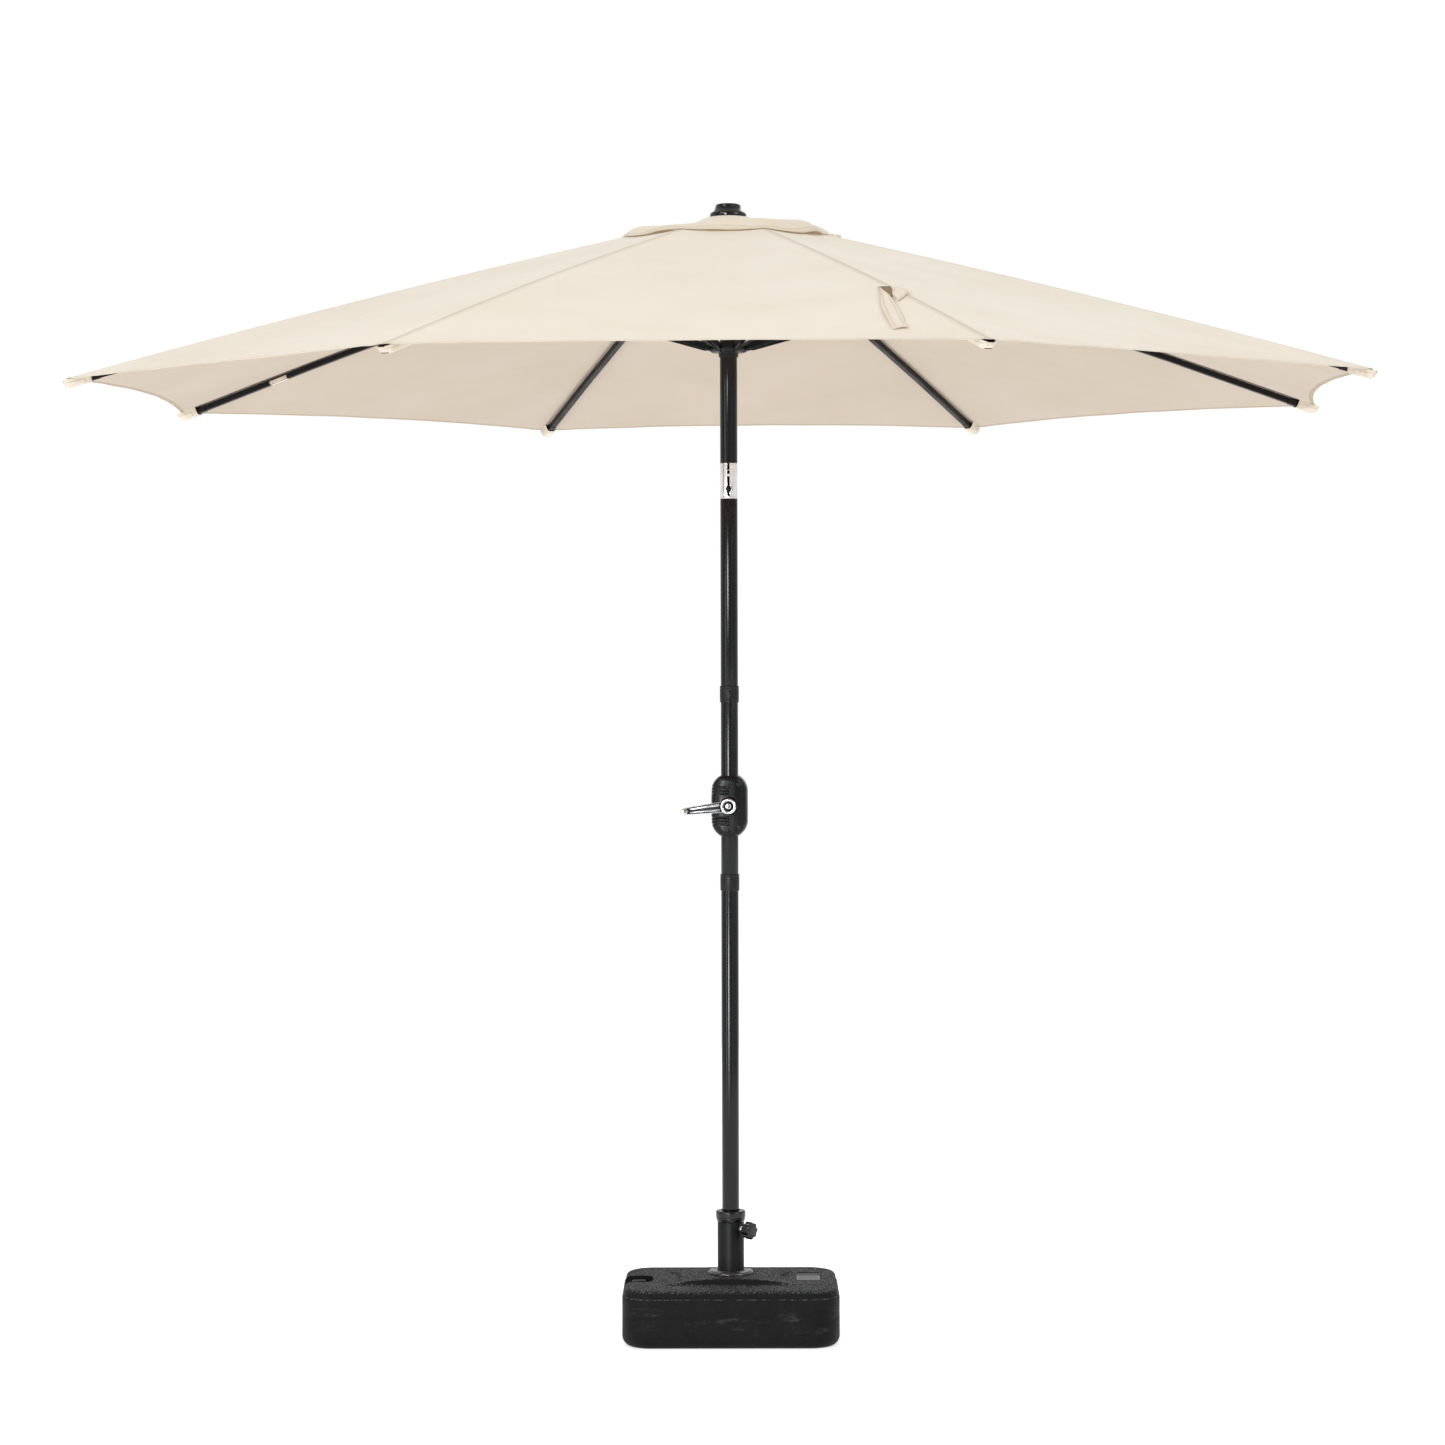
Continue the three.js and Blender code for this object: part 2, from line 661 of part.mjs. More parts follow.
// The point a given depth under the ridge, square to it
function under(r, depth) {
  const fall = RIB_SLOPE - 2 * RIB_BOW * (TIP_RADIUS - r);
  const length = Math.hypot(1, fall);
  return [r - depth * fall / length, ridge(r) - depth / length];
}

function ribDepth(r) {
  return RIB_DEPTH + RIB_DEPTH_GAIN * r / TIP_RADIUS;
}

function bar(from, to, steps, half, top, bottom) {
  const rings = [];
  for (let k = 0; k <= steps; k += 1) {
    const r = from + (to - from) * k / steps;
    const [topX, topZ] = under(r, top);
    const [lowX, lowZ] = under(r, bottom(r));
    rings.push([[topX, half, topZ], [topX, -half, topZ], [lowX, -half, lowZ], [lowX, half, lowZ]]);
  }
  return toSolid(stacked(rings));
}

function blade(points, half) {
  return toSolid(slab(outline(points), -half, half));
}

function acrossPin(radius, x, z, half, steps = 16) {
  return toSolid(lathe([[0, -half], [radius, -half], [radius, half], [0, half]], steps)
    .rotateX(Math.PI / 2).translate(x, 0, z));
}

function makeRib() {
  const lowest = (r) => RIB_TOP_DEPTH + ribDepth(r);
  const skin = bar(RIB_START, RIB_END, 4, RIB_WIDTH / 2, RIB_TOP_DEPTH, lowest);
  const core = bar(
    RIB_START - 1,
    RIB_END + 1,
    4,
    RIB_WIDTH / 2 - TUBE_WALL,
    RIB_TOP_DEPTH + TUBE_WALL,
    (r) => lowest(r) - TUBE_WALL,
  );
  const tip = bar(RIB_END - 0.5, RIB_END + 20, 1, RIB_WIDTH / 2 + 1, RIB_TOP_DEPTH, (r) => lowest(r) + 1);
  const hubBlade = blade([
    [PIVOT_RADIUS, HUB_PIVOT_Z + 5.2],
    [PIVOT_RADIUS, HUB_PIVOT_Z - 5.2],
    under(RIB_START + 4, lowest(RIB_START) - 0.8),
    under(RIB_START + 22, lowest(RIB_START) - 0.8),
    under(RIB_START + 22, RIB_TOP_DEPTH + 0.8),
    under(RIB_START + 4, RIB_TOP_DEPTH + 0.8),
  ], BLADE / 2);
  const hubEye = acrossPin(5.5, PIVOT_RADIUS, HUB_PIVOT_Z, BLADE / 2, 10);
  const lugTop = lowest(RIB_PIVOT_R) - 0.6;
  const lug = add(
    blade([
      [RIB_PIVOT_R - 6.5, RIB_PIVOT_Z],
      [RIB_PIVOT_R + 6.5, RIB_PIVOT_Z],
      under(RIB_PIVOT_R + 18, lugTop),
      under(RIB_PIVOT_R - 6, lugTop),
    ], 4.5),
    acrossPin(7, RIB_PIVOT_R, RIB_PIVOT_Z, 4.5, 8),
  );
  const lugGap = box(RIB_PIVOT_R - 40, RIB_PIVOT_R + 40, -2, 2, RIB_PIVOT_Z - 20, RIB_PIVOT_Z + 40);
  const ears = cut(lug, lugGap);
  const pin = acrossPin(2.4, RIB_PIVOT_R, RIB_PIVOT_Z, 4.4, 8);
  return cut(
    add(cut(skin, core), tip, hubBlade, hubEye, ears, pin),
    acrossPin(EYE_HOLE, PIVOT_RADIUS, HUB_PIVOT_Z, 5, 8),
  );
}

// Stretcher: a channel open underneath, with a blade at each end; built along +X from the runner pivot
function makeStretcher() {
  const reach = LINK_LENGTH;
  const body = box(18, reach - 13, -5, 5, -7, 7);
  const trough = box(0, reach, -5 + TUBE_WALL, 5 - TUBE_WALL, -10, 7 - TUBE_WALL);
  const inner = blade([[0, -5], [14, -5], [44, -5], [44, 6.4], [22, 6.4], [14, 5], [0, 5]], BLADE / 2);
  const outer = blade([
    [reach, 5],
    [reach - 10, 5],
    [reach - 18, 6.4],
    [reach - 40, 6.4],
    [reach - 40, -5],
    [reach, -5],
  ], BLADE / 2);
  return cut(
    add(
      cut(body, trough),
      inner,
      outer,
      acrossPin(5, 0, 0, BLADE / 2, 10),
      acrossPin(5.5, reach, 0, BLADE / 2, 10),
    ),
    acrossPin(EYE_HOLE, 0, 0, 5, 8),
    acrossPin(2.9, reach, 0, 5, 8),
  );
}

// ---- canopy ----
// Point of a rib's own gore: along is 0 at the vent and 1 at the hem, side runs -1 to 1 across
function gorePoint(along, side) {
  const k = Math.abs(side);
  const edge = TIP_RADIUS - HEM_SAG * (1 - (1 - k) ** 2);
  const rho = VENT_HOLE_RADIUS + (edge - VENT_HOLE_RADIUS) * along;
  const half = rho * Math.sin(HALF_PANEL) - GAP / 2;
  const x = rho - k * half * Math.sin(HALF_PANEL);
  const y = Math.sign(side) * k * half * Math.cos(HALF_PANEL);
  return [x, y, ridge(rho)];
}

const ribSolid = makeRib();
const stretcherSolid = makeStretcher();
const gore = sheet(5, 4, (along, across) => gorePoint(along, across * 2 - 1), FABRIC);

for (let i = 0; i < RIB_COUNT; i += 1) {
  const turn = UMBRELLA_TURN + ribTurn(i);
  const stretcher = toGeometry(stretcherSolid).rotateY(-LINK_ANGLE).translate(PIVOT_RADIUS, 0, RUNNER_PIVOT_Z);
  place(`rib_${i + 1}`, ribSolid, steel, turn);
  place(`stretcher_${i + 1}`, toSolid(stretcher), steel, turn);
  place(`canopy_${i + 1}`, toSolid(gore), cream, turn);
}

// Vent flap: bell shaped under the finial, nearly flat beyond, its hem standing off the canopy
function flapHeight(r) {
  const bell = 17.5 * Math.exp(-(((r - 39) / 38) ** 2));
  const skirt = 2454.5 - 0.035 * (r - 40) - 24 * Math.max(0, (r - 195) / 50) ** 2;
  return r < 39 ? 2472.5 : skirt + bell;
}

const flapProfile = [];
for (let k = 0; k <= 6; k += 1) {
  const r = 39 + (VENT_FLAP_RADIUS - 39) * k / 6;
  flapProfile.push([r, flapHeight(r)]);
}
const flapUnderside = flapProfile.map(([r, z]) => [r, z - FABRIC]).reverse();
placeOnPole('vent_cap', turned([
  [8, 2472.5 - FABRIC],
  [8, 2472.5],
  ...flapProfile,
  ...flapUnderside,
  [8, 2472.5 - FABRIC],
]), creamShade);

// Fabric loop round the rear left rib, and the folded closing strap on the front right seam
const loopRadius = 1174;
const loopDrop = RIB_TOP_DEPTH + ribDepth(loopRadius);
const loop = cut(
  bar(loopRadius - 18, loopRadius + 18, 1, RIB_WIDTH / 2 + 1.8, RIB_TOP_DEPTH + 2, () => loopDrop + 2.2),
  bar(loopRadius - 30, loopRadius + 30, 1, RIB_WIDTH / 2 + 0.5, RIB_TOP_DEPTH - 2, () => loopDrop + 0.8),
);
place('rib_loop', loop, creamShade, UMBRELLA_TURN + ribTurn(6));

const strap = sheet(5, 2, (along, across) => {
  const rho = 960 + 150 * along;
  const side = -(14 + 33 * across) / (rho * Math.sin(HALF_PANEL));
  const [x, y] = gorePoint((rho - VENT_HOLE_RADIUS) / (TIP_RADIUS - VENT_HOLE_RADIUS), side);
  return [x, y, ridge(rho) + 5 + 1.5 * Math.sin(along * Math.PI)];
}, 2.5);
place('closing_strap', toSolid(strap), creamShade, UMBRELLA_TURN + ribTurn(1));

export default part;
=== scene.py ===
import math
import random

import bmesh
import bpy
import numpy as np
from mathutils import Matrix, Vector, noise


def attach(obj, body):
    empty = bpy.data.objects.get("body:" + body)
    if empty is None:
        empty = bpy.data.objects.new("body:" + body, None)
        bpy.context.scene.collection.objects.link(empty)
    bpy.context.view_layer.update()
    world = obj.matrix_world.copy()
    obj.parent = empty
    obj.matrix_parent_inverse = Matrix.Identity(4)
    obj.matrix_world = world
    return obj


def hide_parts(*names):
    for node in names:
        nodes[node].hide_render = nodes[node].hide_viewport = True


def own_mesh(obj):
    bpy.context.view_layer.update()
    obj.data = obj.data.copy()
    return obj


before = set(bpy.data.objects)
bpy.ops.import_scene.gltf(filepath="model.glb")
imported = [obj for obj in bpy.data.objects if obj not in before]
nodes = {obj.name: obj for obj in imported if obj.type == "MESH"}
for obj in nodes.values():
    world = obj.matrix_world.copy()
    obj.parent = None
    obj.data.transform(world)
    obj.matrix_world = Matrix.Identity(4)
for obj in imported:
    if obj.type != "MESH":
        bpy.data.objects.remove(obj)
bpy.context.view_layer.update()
random.seed(7)

# Lengths below are in millimetres, as in the CAD source, and become metres in make().
MM = 0.001
RAD = math.pi / 180
TURN = -3.42 * RAD
RIBS = 8
HALF_PANEL = 22.5 * RAD
SIN_HALF = math.sin(HALF_PANEL)
COS_HALF = math.cos(HALF_PANEL)
TIP_RADIUS = 1449.5
TIP_HEIGHT = 2083.5
RIB_SLOPE = 0.30187
RIB_BOW = 2.1575e-5
HEM_SAG = 50
VENT_HOLE = 118
FLAP_RADIUS = 245
PANEL_SAG = 8
CLOTH_THICK = 0.0009
RUNNER_Z = 2180
RIB_PIVOT_R = 515.0
RIB_PIVOT_Z = 2316
CLAMP_TURN = -42 * RAD
CLAMP_Z = 240
CRANK_Z = 1175.8
CRANK_SWING = math.pi + 6.8 * RAD
CRANK_REACH = 95
PIN_Z = 1903
BUTTON_Z = 1873


# ---- materials ----
def tone(code):
    """A hex colour as the linear RGBA that shader sockets take."""
    parts = [int(code[k:k + 2], 16) / 255 for k in (0, 2, 4)]
    return tuple(c / 12.92 if c <= 0.04045 else ((c + 0.055) / 1.055) ** 2.4 for c in parts) + (1.0,)


class Graph:
    """Short calls for shader nodes. Sockets take a number, a colour or another socket."""

    def __init__(self, tree):
        self.tree = tree

    def put(self, socket, value):
        if isinstance(value, bpy.types.NodeSocket):
            self.tree.links.new(value, socket)
        else:
            socket.default_value = value

    def node(self, kind, inputs=(), **settings):
        made = self.tree.nodes.new("ShaderNode" + kind)
        for key, value in settings.items():
            setattr(made, key, value)
        for key, value in dict(inputs).items():
            self.put(made.inputs[key], value)
        return made

    def math(self, operation, *values):
        return self.node("Math", enumerate(values), operation=operation).outputs[0]

    def times(self, a, b):
        return self.math("MULTIPLY", a, b)

    def plus(self, a, b):
        return self.math("ADD", a, b)

    def minus(self, a, b):
        return self.math("SUBTRACT", a, b)

    def coords(self, scale=(1, 1, 1)):
        place = self.node("TexCoord").outputs["Object"]
        return self.scaled(place, scale)

    def scaled(self, vector, scale):
        return self.node("Mapping", {"Vector": vector, "Scale": scale}).outputs[0]

    def attribute(self, name):
        return self.node("Attribute", attribute_name=name).outputs["Vector"]

    def split(self, vector):
        return self.node("SeparateXYZ", {"Vector": vector}).outputs

    def noise(self, vector, scale, detail=3.0, rough=0.55):
        inputs = {"Vector": vector, "Scale": scale, "Detail": detail, "Roughness": rough}
        return self.node("TexNoise", inputs).outputs["Fac"]

    def spots(self, vector, scale, randomness=1.0):
        inputs = {"Vector": vector, "Scale": scale, "Randomness": randomness}
        return self.node("TexVoronoi", inputs).outputs["Distance"]

    def remap(self, value, from_low, from_high, to_low=0.0, to_high=1.0):
        inputs = {0: value, 1: from_low, 2: from_high, 3: to_low, 4: to_high}
        return self.node("MapRange", inputs, interpolation_type="SMOOTHSTEP").outputs[0]

    def band(self, value, centre, half, soft):
        """1 near a centre value, falling softly to 0 past half on either side."""
        away = self.math("ABSOLUTE", self.minus(value, centre))
        return self.remap(away, half, half + soft, 1.0, 0.0)

    def mix(self, share, low, high):
        return self.node("Mix", {0: share, 6: low, 7: high}, data_type="RGBA").outputs[2]

    def bump(self, height, distance, strength, onto=None):
        inputs = {"Height": height, "Distance": distance, "Strength": strength}
        if onto is not None:
            inputs["Normal"] = onto
        return self.node("Bump", inputs).outputs[0]


class Shade(Graph):
    """A material with a principled surface."""

    def __init__(self, name, **constants):
        self.material = bpy.data.materials.new(name)
        self.material.use_nodes = True
        super().__init__(self.material.node_tree)
        self.surface = self.tree.nodes["Principled BSDF"]
        for socket, value in constants.items():
            self.surface.inputs[socket.replace("_", " ")].default_value = value

    def done(self, colour, roughness, normal=None):
        self.put(self.surface.inputs["Base Color"], colour)
        self.put(self.surface.inputs["Roughness"], roughness)
        if normal is not None:
            self.put(self.surface.inputs["Normal"], normal)
        return self.material


THREAD_PITCH = 0.0011
STITCH_PITCH = 0.0038
STITCH_ROW = (0.0004, 0.0006)
SEAM_ROWS = (0.0035, 0.0085)
HEM_ROWS = (0.002, 0.0085)


def cloth_shade(name, face, thread, shade, hem_share=0.15, fold_share=0.0, painted_glow=0.0):
    """Plain-woven polyester: threads, mottling, a felled seam with two stitch rows, a stitched hem. A
    painted glow, a faint emission in the cloth's own colour, is painted light that lifts the shade in gaps
    under the cloth.
    """
    s = Shade(name, Sheen_Weight=0.12, Sheen_Roughness=0.5, Specular_IOR_Level=0.2, Emission_Color=face,
              Emission_Strength=painted_glow)
    weave = s.attribute("cloth")
    edge = s.split(s.attribute("edge"))
    u, v = s.split(weave)[0], s.split(weave)[1]
    pitch = 2 * math.pi / THREAD_PITCH
    warp = s.math("SINE", s.times(u, pitch))
    weft = s.math("SINE", s.times(v, pitch))
    threads = s.times(warp, weft)
    slub = s.noise(s.scaled(weave, (30, 1400, 1)), 1.0, 2.0)
    slub_across = s.noise(s.scaled(weave, (1400, 30, 1)), 1.0, 2.0)
    mottle = s.noise(s.coords(), 3.2, 5.0, 0.6)
    fine = s.noise(s.coords(), 26.0, 4.0, 0.6)
    seam_line = s.band(edge[0], 0.0, 0.0012, 0.0025)
    seam_rows = s.plus(*(s.band(edge[0], row, *STITCH_ROW) for row in SEAM_ROWS))
    hem_rows = s.plus(*(s.band(edge[1], row, *STITCH_ROW) for row in HEM_ROWS))
    dashes = s.remap(s.math("SINE", s.times(v, 2 * math.pi / STITCH_PITCH)), -0.6, 0.0)
    cross_dashes = s.remap(s.math("SINE", s.times(u, 2 * math.pi / STITCH_PITCH)), -0.6, 0.0)
    stitches = s.plus(s.times(seam_rows, dashes), s.times(hem_rows, cross_dashes))
    stitches = s.math("MINIMUM", stitches, 1.0)
    hem = s.remap(edge[1], 0.0095, 0.0115, 1.0, 0.0)
    fold = s.remap(edge[0], 0.0105, 0.0125, 1.0, 0.0)
    colour = s.mix(s.remap(mottle, 0.3, 0.72), shade, face)
    colour = s.mix(s.times(s.remap(fine, 0.35, 0.75), 0.35), colour, face)
    colour = s.mix(s.times(s.plus(slub, slub_across), 0.10), colour, thread)
    fold_edge = s.band(edge[0], 0.0135, 0.0005, 0.0016)
    doubled = s.math("MAXIMUM", s.times(hem, hem_share), s.times(fold, 0.14))
    colour = s.mix(s.math("MAXIMUM", doubled, s.times(fold_edge, fold_share)), colour, thread)
    colour = s.mix(s.times(seam_line, 0.62), colour, thread)
    colour = s.mix(s.times(stitches, 0.5), colour, thread)
    rough = s.remap(fine, 0.3, 0.7, 0.8, 0.93)
    normal = s.bump(threads, 0.00012, 0.35)
    normal = s.bump(s.plus(slub, slub_across), 0.00025, 0.35, normal)
    normal = s.bump(s.minus(s.times(seam_line, -1.0), stitches), 0.0006, 0.6, normal)
    return s.done(colour, rough, normal)


def paint_shade(name, colour, worn, rough, grain, shine):
    """Powder-coated metal: a fine orange peel, cloudy gloss and a few pale scuffs along the length."""
    s = Shade(name, Specular_IOR_Level=shine)
    peel = s.noise(s.coords(), grain, 2.0)
    cloud = s.noise(s.coords((1, 1, 0.25)), 14.0, 4.0)
    scuff = s.noise(s.coords((1, 1, 0.06)), 160.0, 4.0, 0.7)
    marks = s.times(s.remap(scuff, 0.66, 0.74), s.remap(cloud, 0.45, 0.6))
    tint = s.mix(s.remap(cloud, 0.3, 0.7), colour, tuple(c * 1.4 for c in colour[:3]) + (1.0,))
    tint = s.mix(s.times(marks, 0.5), tint, worn)
    gloss = s.plus(s.remap(cloud, 0.3, 0.7, rough - 0.06, rough + 0.07), s.times(marks, 0.15))
    return s.done(tint, gloss, s.bump(peel, 0.00002, 0.12))


def plastic_shade(name, colour, pale, rough, shine, grain=900.0, depth=0.00008):
    """Moulded plastic: fine mould texture, cloudy gloss, faint flow marks and rubbed spots."""
    s = Shade(name, Specular_IOR_Level=shine)
    texture = s.noise(s.coords(), grain, 3.0, 0.6)
    cloud = s.noise(s.coords(), 22.0, 5.0, 0.6)
    rubbed = s.remap(s.noise(s.coords((1, 1, 0.3)), 90.0, 5.0, 0.7), 0.6, 0.8)
    tint = s.mix(s.times(s.remap(cloud, 0.35, 0.75), 0.5), colour, pale)
    tint = s.mix(s.times(rubbed, 0.22), tint, pale)
    gloss = s.plus(s.remap(cloud, 0.3, 0.7, rough - 0.07, rough + 0.06), s.times(rubbed, 0.1))
    return s.done(tint, gloss, s.bump(texture, depth, 0.6))


def metal_shade(name, colour, dark, rough):
    """Bright plating: brushed hairlines, smudges and small darker pits."""
    s = Shade(name, Metallic=1.0)
    hair = s.noise(s.coords((1, 1, 18)), 130.0, 3.0)
    smudge = s.noise(s.coords(), 60.0, 4.0)
    pits = s.remap(s.spots(s.coords(), 420.0), 0.04, 0.12, 1.0, 0.0)
    tint = s.mix(s.remap(smudge, 0.3, 0.75), dark, colour)
    tint = s.mix(s.times(pits, 0.35), tint, dark)
    return s.done(tint, s.remap(smudge, 0.3, 0.7, rough, rough + 0.14), s.bump(hair, 0.00004, 0.3))


def knuckle_shade(name):
    """Bright plating of the tilt knuckle: a grey line left of the middle, which is a painted reflection of a
    dark part of the studio, and an arc beside the button.
    """
    s = Shade(name, Metallic=0.65)
    turned = s.node("Mapping", {"Vector": s.coords(), "Rotation": (0.0, 0.0, -TURN)}).outputs[0]
    side, _, height = s.split(turned)
    away = s.minus(height, BUTTON_Z * MM)
    reach = s.math("SQRT", s.plus(s.times(side, side), s.times(away, away)))
    ring = s.times(s.band(reach, 0.0092, 0.0003, 0.0006), s.remap(side, 0.0012, 0.0026))
    # The grey line is a painted reflection: the dark stripe that a flag beside the studio would mirror into
    # the plating.
    drawn = s.times(s.band(side, -0.0112, 0.0005, 0.0012), s.remap(away, -0.0075, -0.0055))
    hair = s.noise(s.coords((1, 1, 18)), 130.0, 3.0)
    smudge = s.noise(s.coords(), 60.0, 4.0)
    tint = s.mix(s.remap(smudge, 0.3, 0.75), tone("ececee"), tone("fdfdfd"))
    # Darkens the plating along the arc and along the painted reflection line.
    groove_and_reflection = s.math("MAXIMUM", ring, s.times(drawn, 0.75))
    tint = s.mix(s.times(groove_and_reflection, 0.8), tint, tone("77787a"))
    return s.done(tint, s.remap(smudge, 0.3, 0.7, 0.18, 0.26), s.bump(hair, 0.00003, 0.3))


def tank_shade(name):
    """Blow-moulded tank: sandy grain on top, smoother walls with scuffs, long scratches and dust. Faces that
    turn up are lighter, partly the sandy finish and partly painted light; a painted highlight runs along the
    crease under the rim and painted shade fills the channel above it.
    """
    s = Shade(name, Specular_IOR_Level=0.12)
    place = s.coords()
    height = s.split(place)[2]
    facing = s.split(s.node("NewGeometry").outputs["Normal"])[2]
    top = s.times(s.remap(facing, 0.35, 0.93), s.remap(height, 0.102, 0.114))
    grit = s.noise(place, 230.0, 3.0, 0.75)
    pebbles = s.spots(place, 300.0)
    soft = s.noise(place, 18.0, 5.0, 0.6)
    scrape = s.noise(s.coords((1, 1, 4)), 16.0, 8.0, 0.72)
    long_scratch = s.noise(s.coords((3, 3, 60)), 9.0, 6.0, 0.75)
    slant = {"Vector": place, "Rotation": (0.0, 0.9, 0.0), "Scale": (6, 6, 150)}
    hair = s.remap(s.noise(s.node("Mapping", slant).outputs[0], 6.0, 4.0, 0.7), 0.70, 0.74)
    walls = s.minus(1.0, top)
    belt = s.band(height, 0.062, 0.016, 0.02)
    scuffs = s.times(s.times(walls, belt), s.remap(scrape, 0.54, 0.68))
    lines = s.times(walls, s.math("MAXIMUM", s.remap(long_scratch, 0.68, 0.73), hair))
    broken = s.remap(s.noise(s.coords((1, 1, 0.2)), 90.0, 4.0, 0.8), 0.46, 0.66)
    # A pale, broken line along the crease under the rim: partly wear on its edge, partly a painted highlight
    # where it catches the light.
    crease = s.times(s.band(height, 0.1088, 0.0006, 0.0012), broken)
    # A darker band in the inset channel under the rim: painted shade.
    channel_shade = s.band(height, 0.1145, 0.0030, 0.0030)
    tint = s.mix(s.remap(soft, 0.35, 0.7), tone("0a0b0b"), tone("111213"))
    # Lighter on faces that turn up: partly the sandy top's own tone, partly painted light, so the front of
    # the hump stays dark as painted shade.
    tint = s.mix(s.times(top, s.remap(soft, 0.3, 0.7, 0.55, 0.8)), tint, tone("2e3031"))
    tint = s.mix(s.times(top, s.remap(grit, 0.53, 0.64)), tint, tone("757678"))
    tint = s.mix(s.times(top, s.remap(grit, 0.38, 0.49, 1.0, 0.0)), tint, tone("0b0c0d"))
    tint = s.mix(s.times(walls, s.remap(grit, 0.60, 0.72, 0.0, 0.3)), tint, tone("454648"))
    tint = s.mix(s.times(scuffs, 0.36), tint, tone("48494b"))
    tint = s.mix(s.times(lines, 0.5), tint, tone("747577"))
    tint = s.mix(s.times(crease, 0.4), tint, tone("747577"))
    tint = s.mix(s.times(s.times(channel_shade, walls), 0.5), tint, tone("0c0d0d"))
    gloss = s.plus(s.remap(soft, 0.3, 0.7, 0.5, 0.62), s.times(top, 0.14))
    relief = s.times(s.plus(grit, pebbles), s.remap(top, 0.0, 1.0, 0.25, 1.0))
    normal = s.bump(relief, 0.0011, 0.9)
    normal = s.bump(s.plus(scuffs, lines), 0.0002, 0.4, normal)
    return s.done(tint, gloss, normal)


def plate_shade(name):
    """Blank moulded plate: grey face inside a darker border, and its back part painted black: painted shade
    standing for the dark slot behind it.
    """
    s = Shade(name, Specular_IOR_Level=0.3)
    side, depth = s.split(s.node("TexCoord").outputs["Generated"])[:2]
    speck = s.noise(s.coords(), 500.0, 4.0, 0.7)
    border = s.math("MAXIMUM", s.remap(s.math("ABSOLUTE", s.minus(side, 0.5)), 0.44, 0.46),
                    s.remap(depth, 0.07, 0.1, 1.0, 0.0))
    tint = s.mix(s.remap(speck, 0.35, 0.7), tone("4a4b4d"), tone("616264"))
    tint = s.mix(s.times(border, 0.7), tint, tone("8a8b8c"))
    # Painted shade: the back part turns black, for the shaded slot behind the plate.
    tint = s.mix(s.remap(depth, 0.62, 0.66), tint, tone("040404"))
    return s.done(tint, s.remap(speck, 0.3, 0.7, 0.45, 0.6), s.bump(speck, 0.0002, 0.5))


def water_shade(name):
    s = Shade(name, Transmission_Weight=0.9, IOR=1.33)
    haze = s.noise(s.coords(), 12.0)
    return s.done(s.mix(haze, tone("9fb6c0"), tone("c4d4da")), s.remap(haze, 0.3, 0.7, 0.05, 0.2))


# Each inside copy is darker than its outside one: painted shade on the cloth's underside.
CANOPY = [cloth_shade("canopy_weave", tone("ece3d5"), tone("b9a88e"), tone("e6dccb")),
          cloth_shade("canopy_inside", tone("cbbeb0"), tone("a08c72"), tone("c4b7a6"), 0.5, 0.8)]
VENT = [cloth_shade("vent_weave", tone("ebe0cf"), tone("b6a58a"), tone("e3d7c3")),
        # The vent's inside has a painted glow: painted light that lightens the shaded gaps under the flap
        # and the straps.
        cloth_shade("vent_inside", tone("ddcfb9"), tone("a8967a"), tone("d2c2a8"), 0.4, painted_glow=0.3)]
# SHADED is a dark brown cloth of painted shadow, for the shaded underside of the strap's fold.
SHADED = [cloth_shade("strap_inside_painted_shadow", tone("8d6f48"), tone("5d4628"), tone("7a5d38"))] * 2
POLE = paint_shade("pole_coating", tone("0e0f11"), tone("4d5054"), 0.14, 1500.0, 0.30)
POST = paint_shade("post_coating", tone("0c0d0e"), tone("303235"), 0.46, 1500.0, 0.2)
RIB = paint_shade("rib_coating", tone("0f1012"), tone("3b3d40"), 0.46, 1800.0, 0.2)
BLACK = plastic_shade("black_mould", tone("0d0e0f"), tone("1d1e20"), 0.40, 0.28)
GLOSS = plastic_shade("gloss_mould", tone("060707"), tone("121314"), 0.2, 0.4, 500.0, 0.00003)
RING = plastic_shade("ring_mould", tone("141516"), tone("232425"), 0.12, 1.0, 500.0, 0.00002)
SHELL = plastic_shade("shell_mould", tone("08090a"), tone("111213"), 0.3, 0.24, 220.0, 0.0000005)
KNUCKLE = knuckle_shade("knuckle_plate")
BUTTON = plastic_shade("button_mould", tone("050505"), tone("0c0c0c"), 0.3, 0.12)
GAP = plastic_shade("joint_shadow", tone("020202"), tone("050505"), 0.7, 0.05)
CAP = plastic_shade("cap_mould", tone("2b2c2e"), tone("3f4042"), 0.45, 0.3)
BRIGHT = metal_shade("bright_plate", tone("f1f2f4"), tone("c4c7cb"), 0.09)
DARK_METAL = metal_shade("dark_plate", tone("2a2b2d"), tone("101112"), 0.22)
TANK = tank_shade("tank_mould")
PLATE = plate_shade("plate_mould")
WATER = water_shade("water")


# ---- meshes ----
def spun(points, angle):
    """Points turned about the pole."""
    c, n = math.cos(angle), math.sin(angle)
    return points @ np.array([[c, n, 0], [-n, c, 0], [0, 0, 1]])


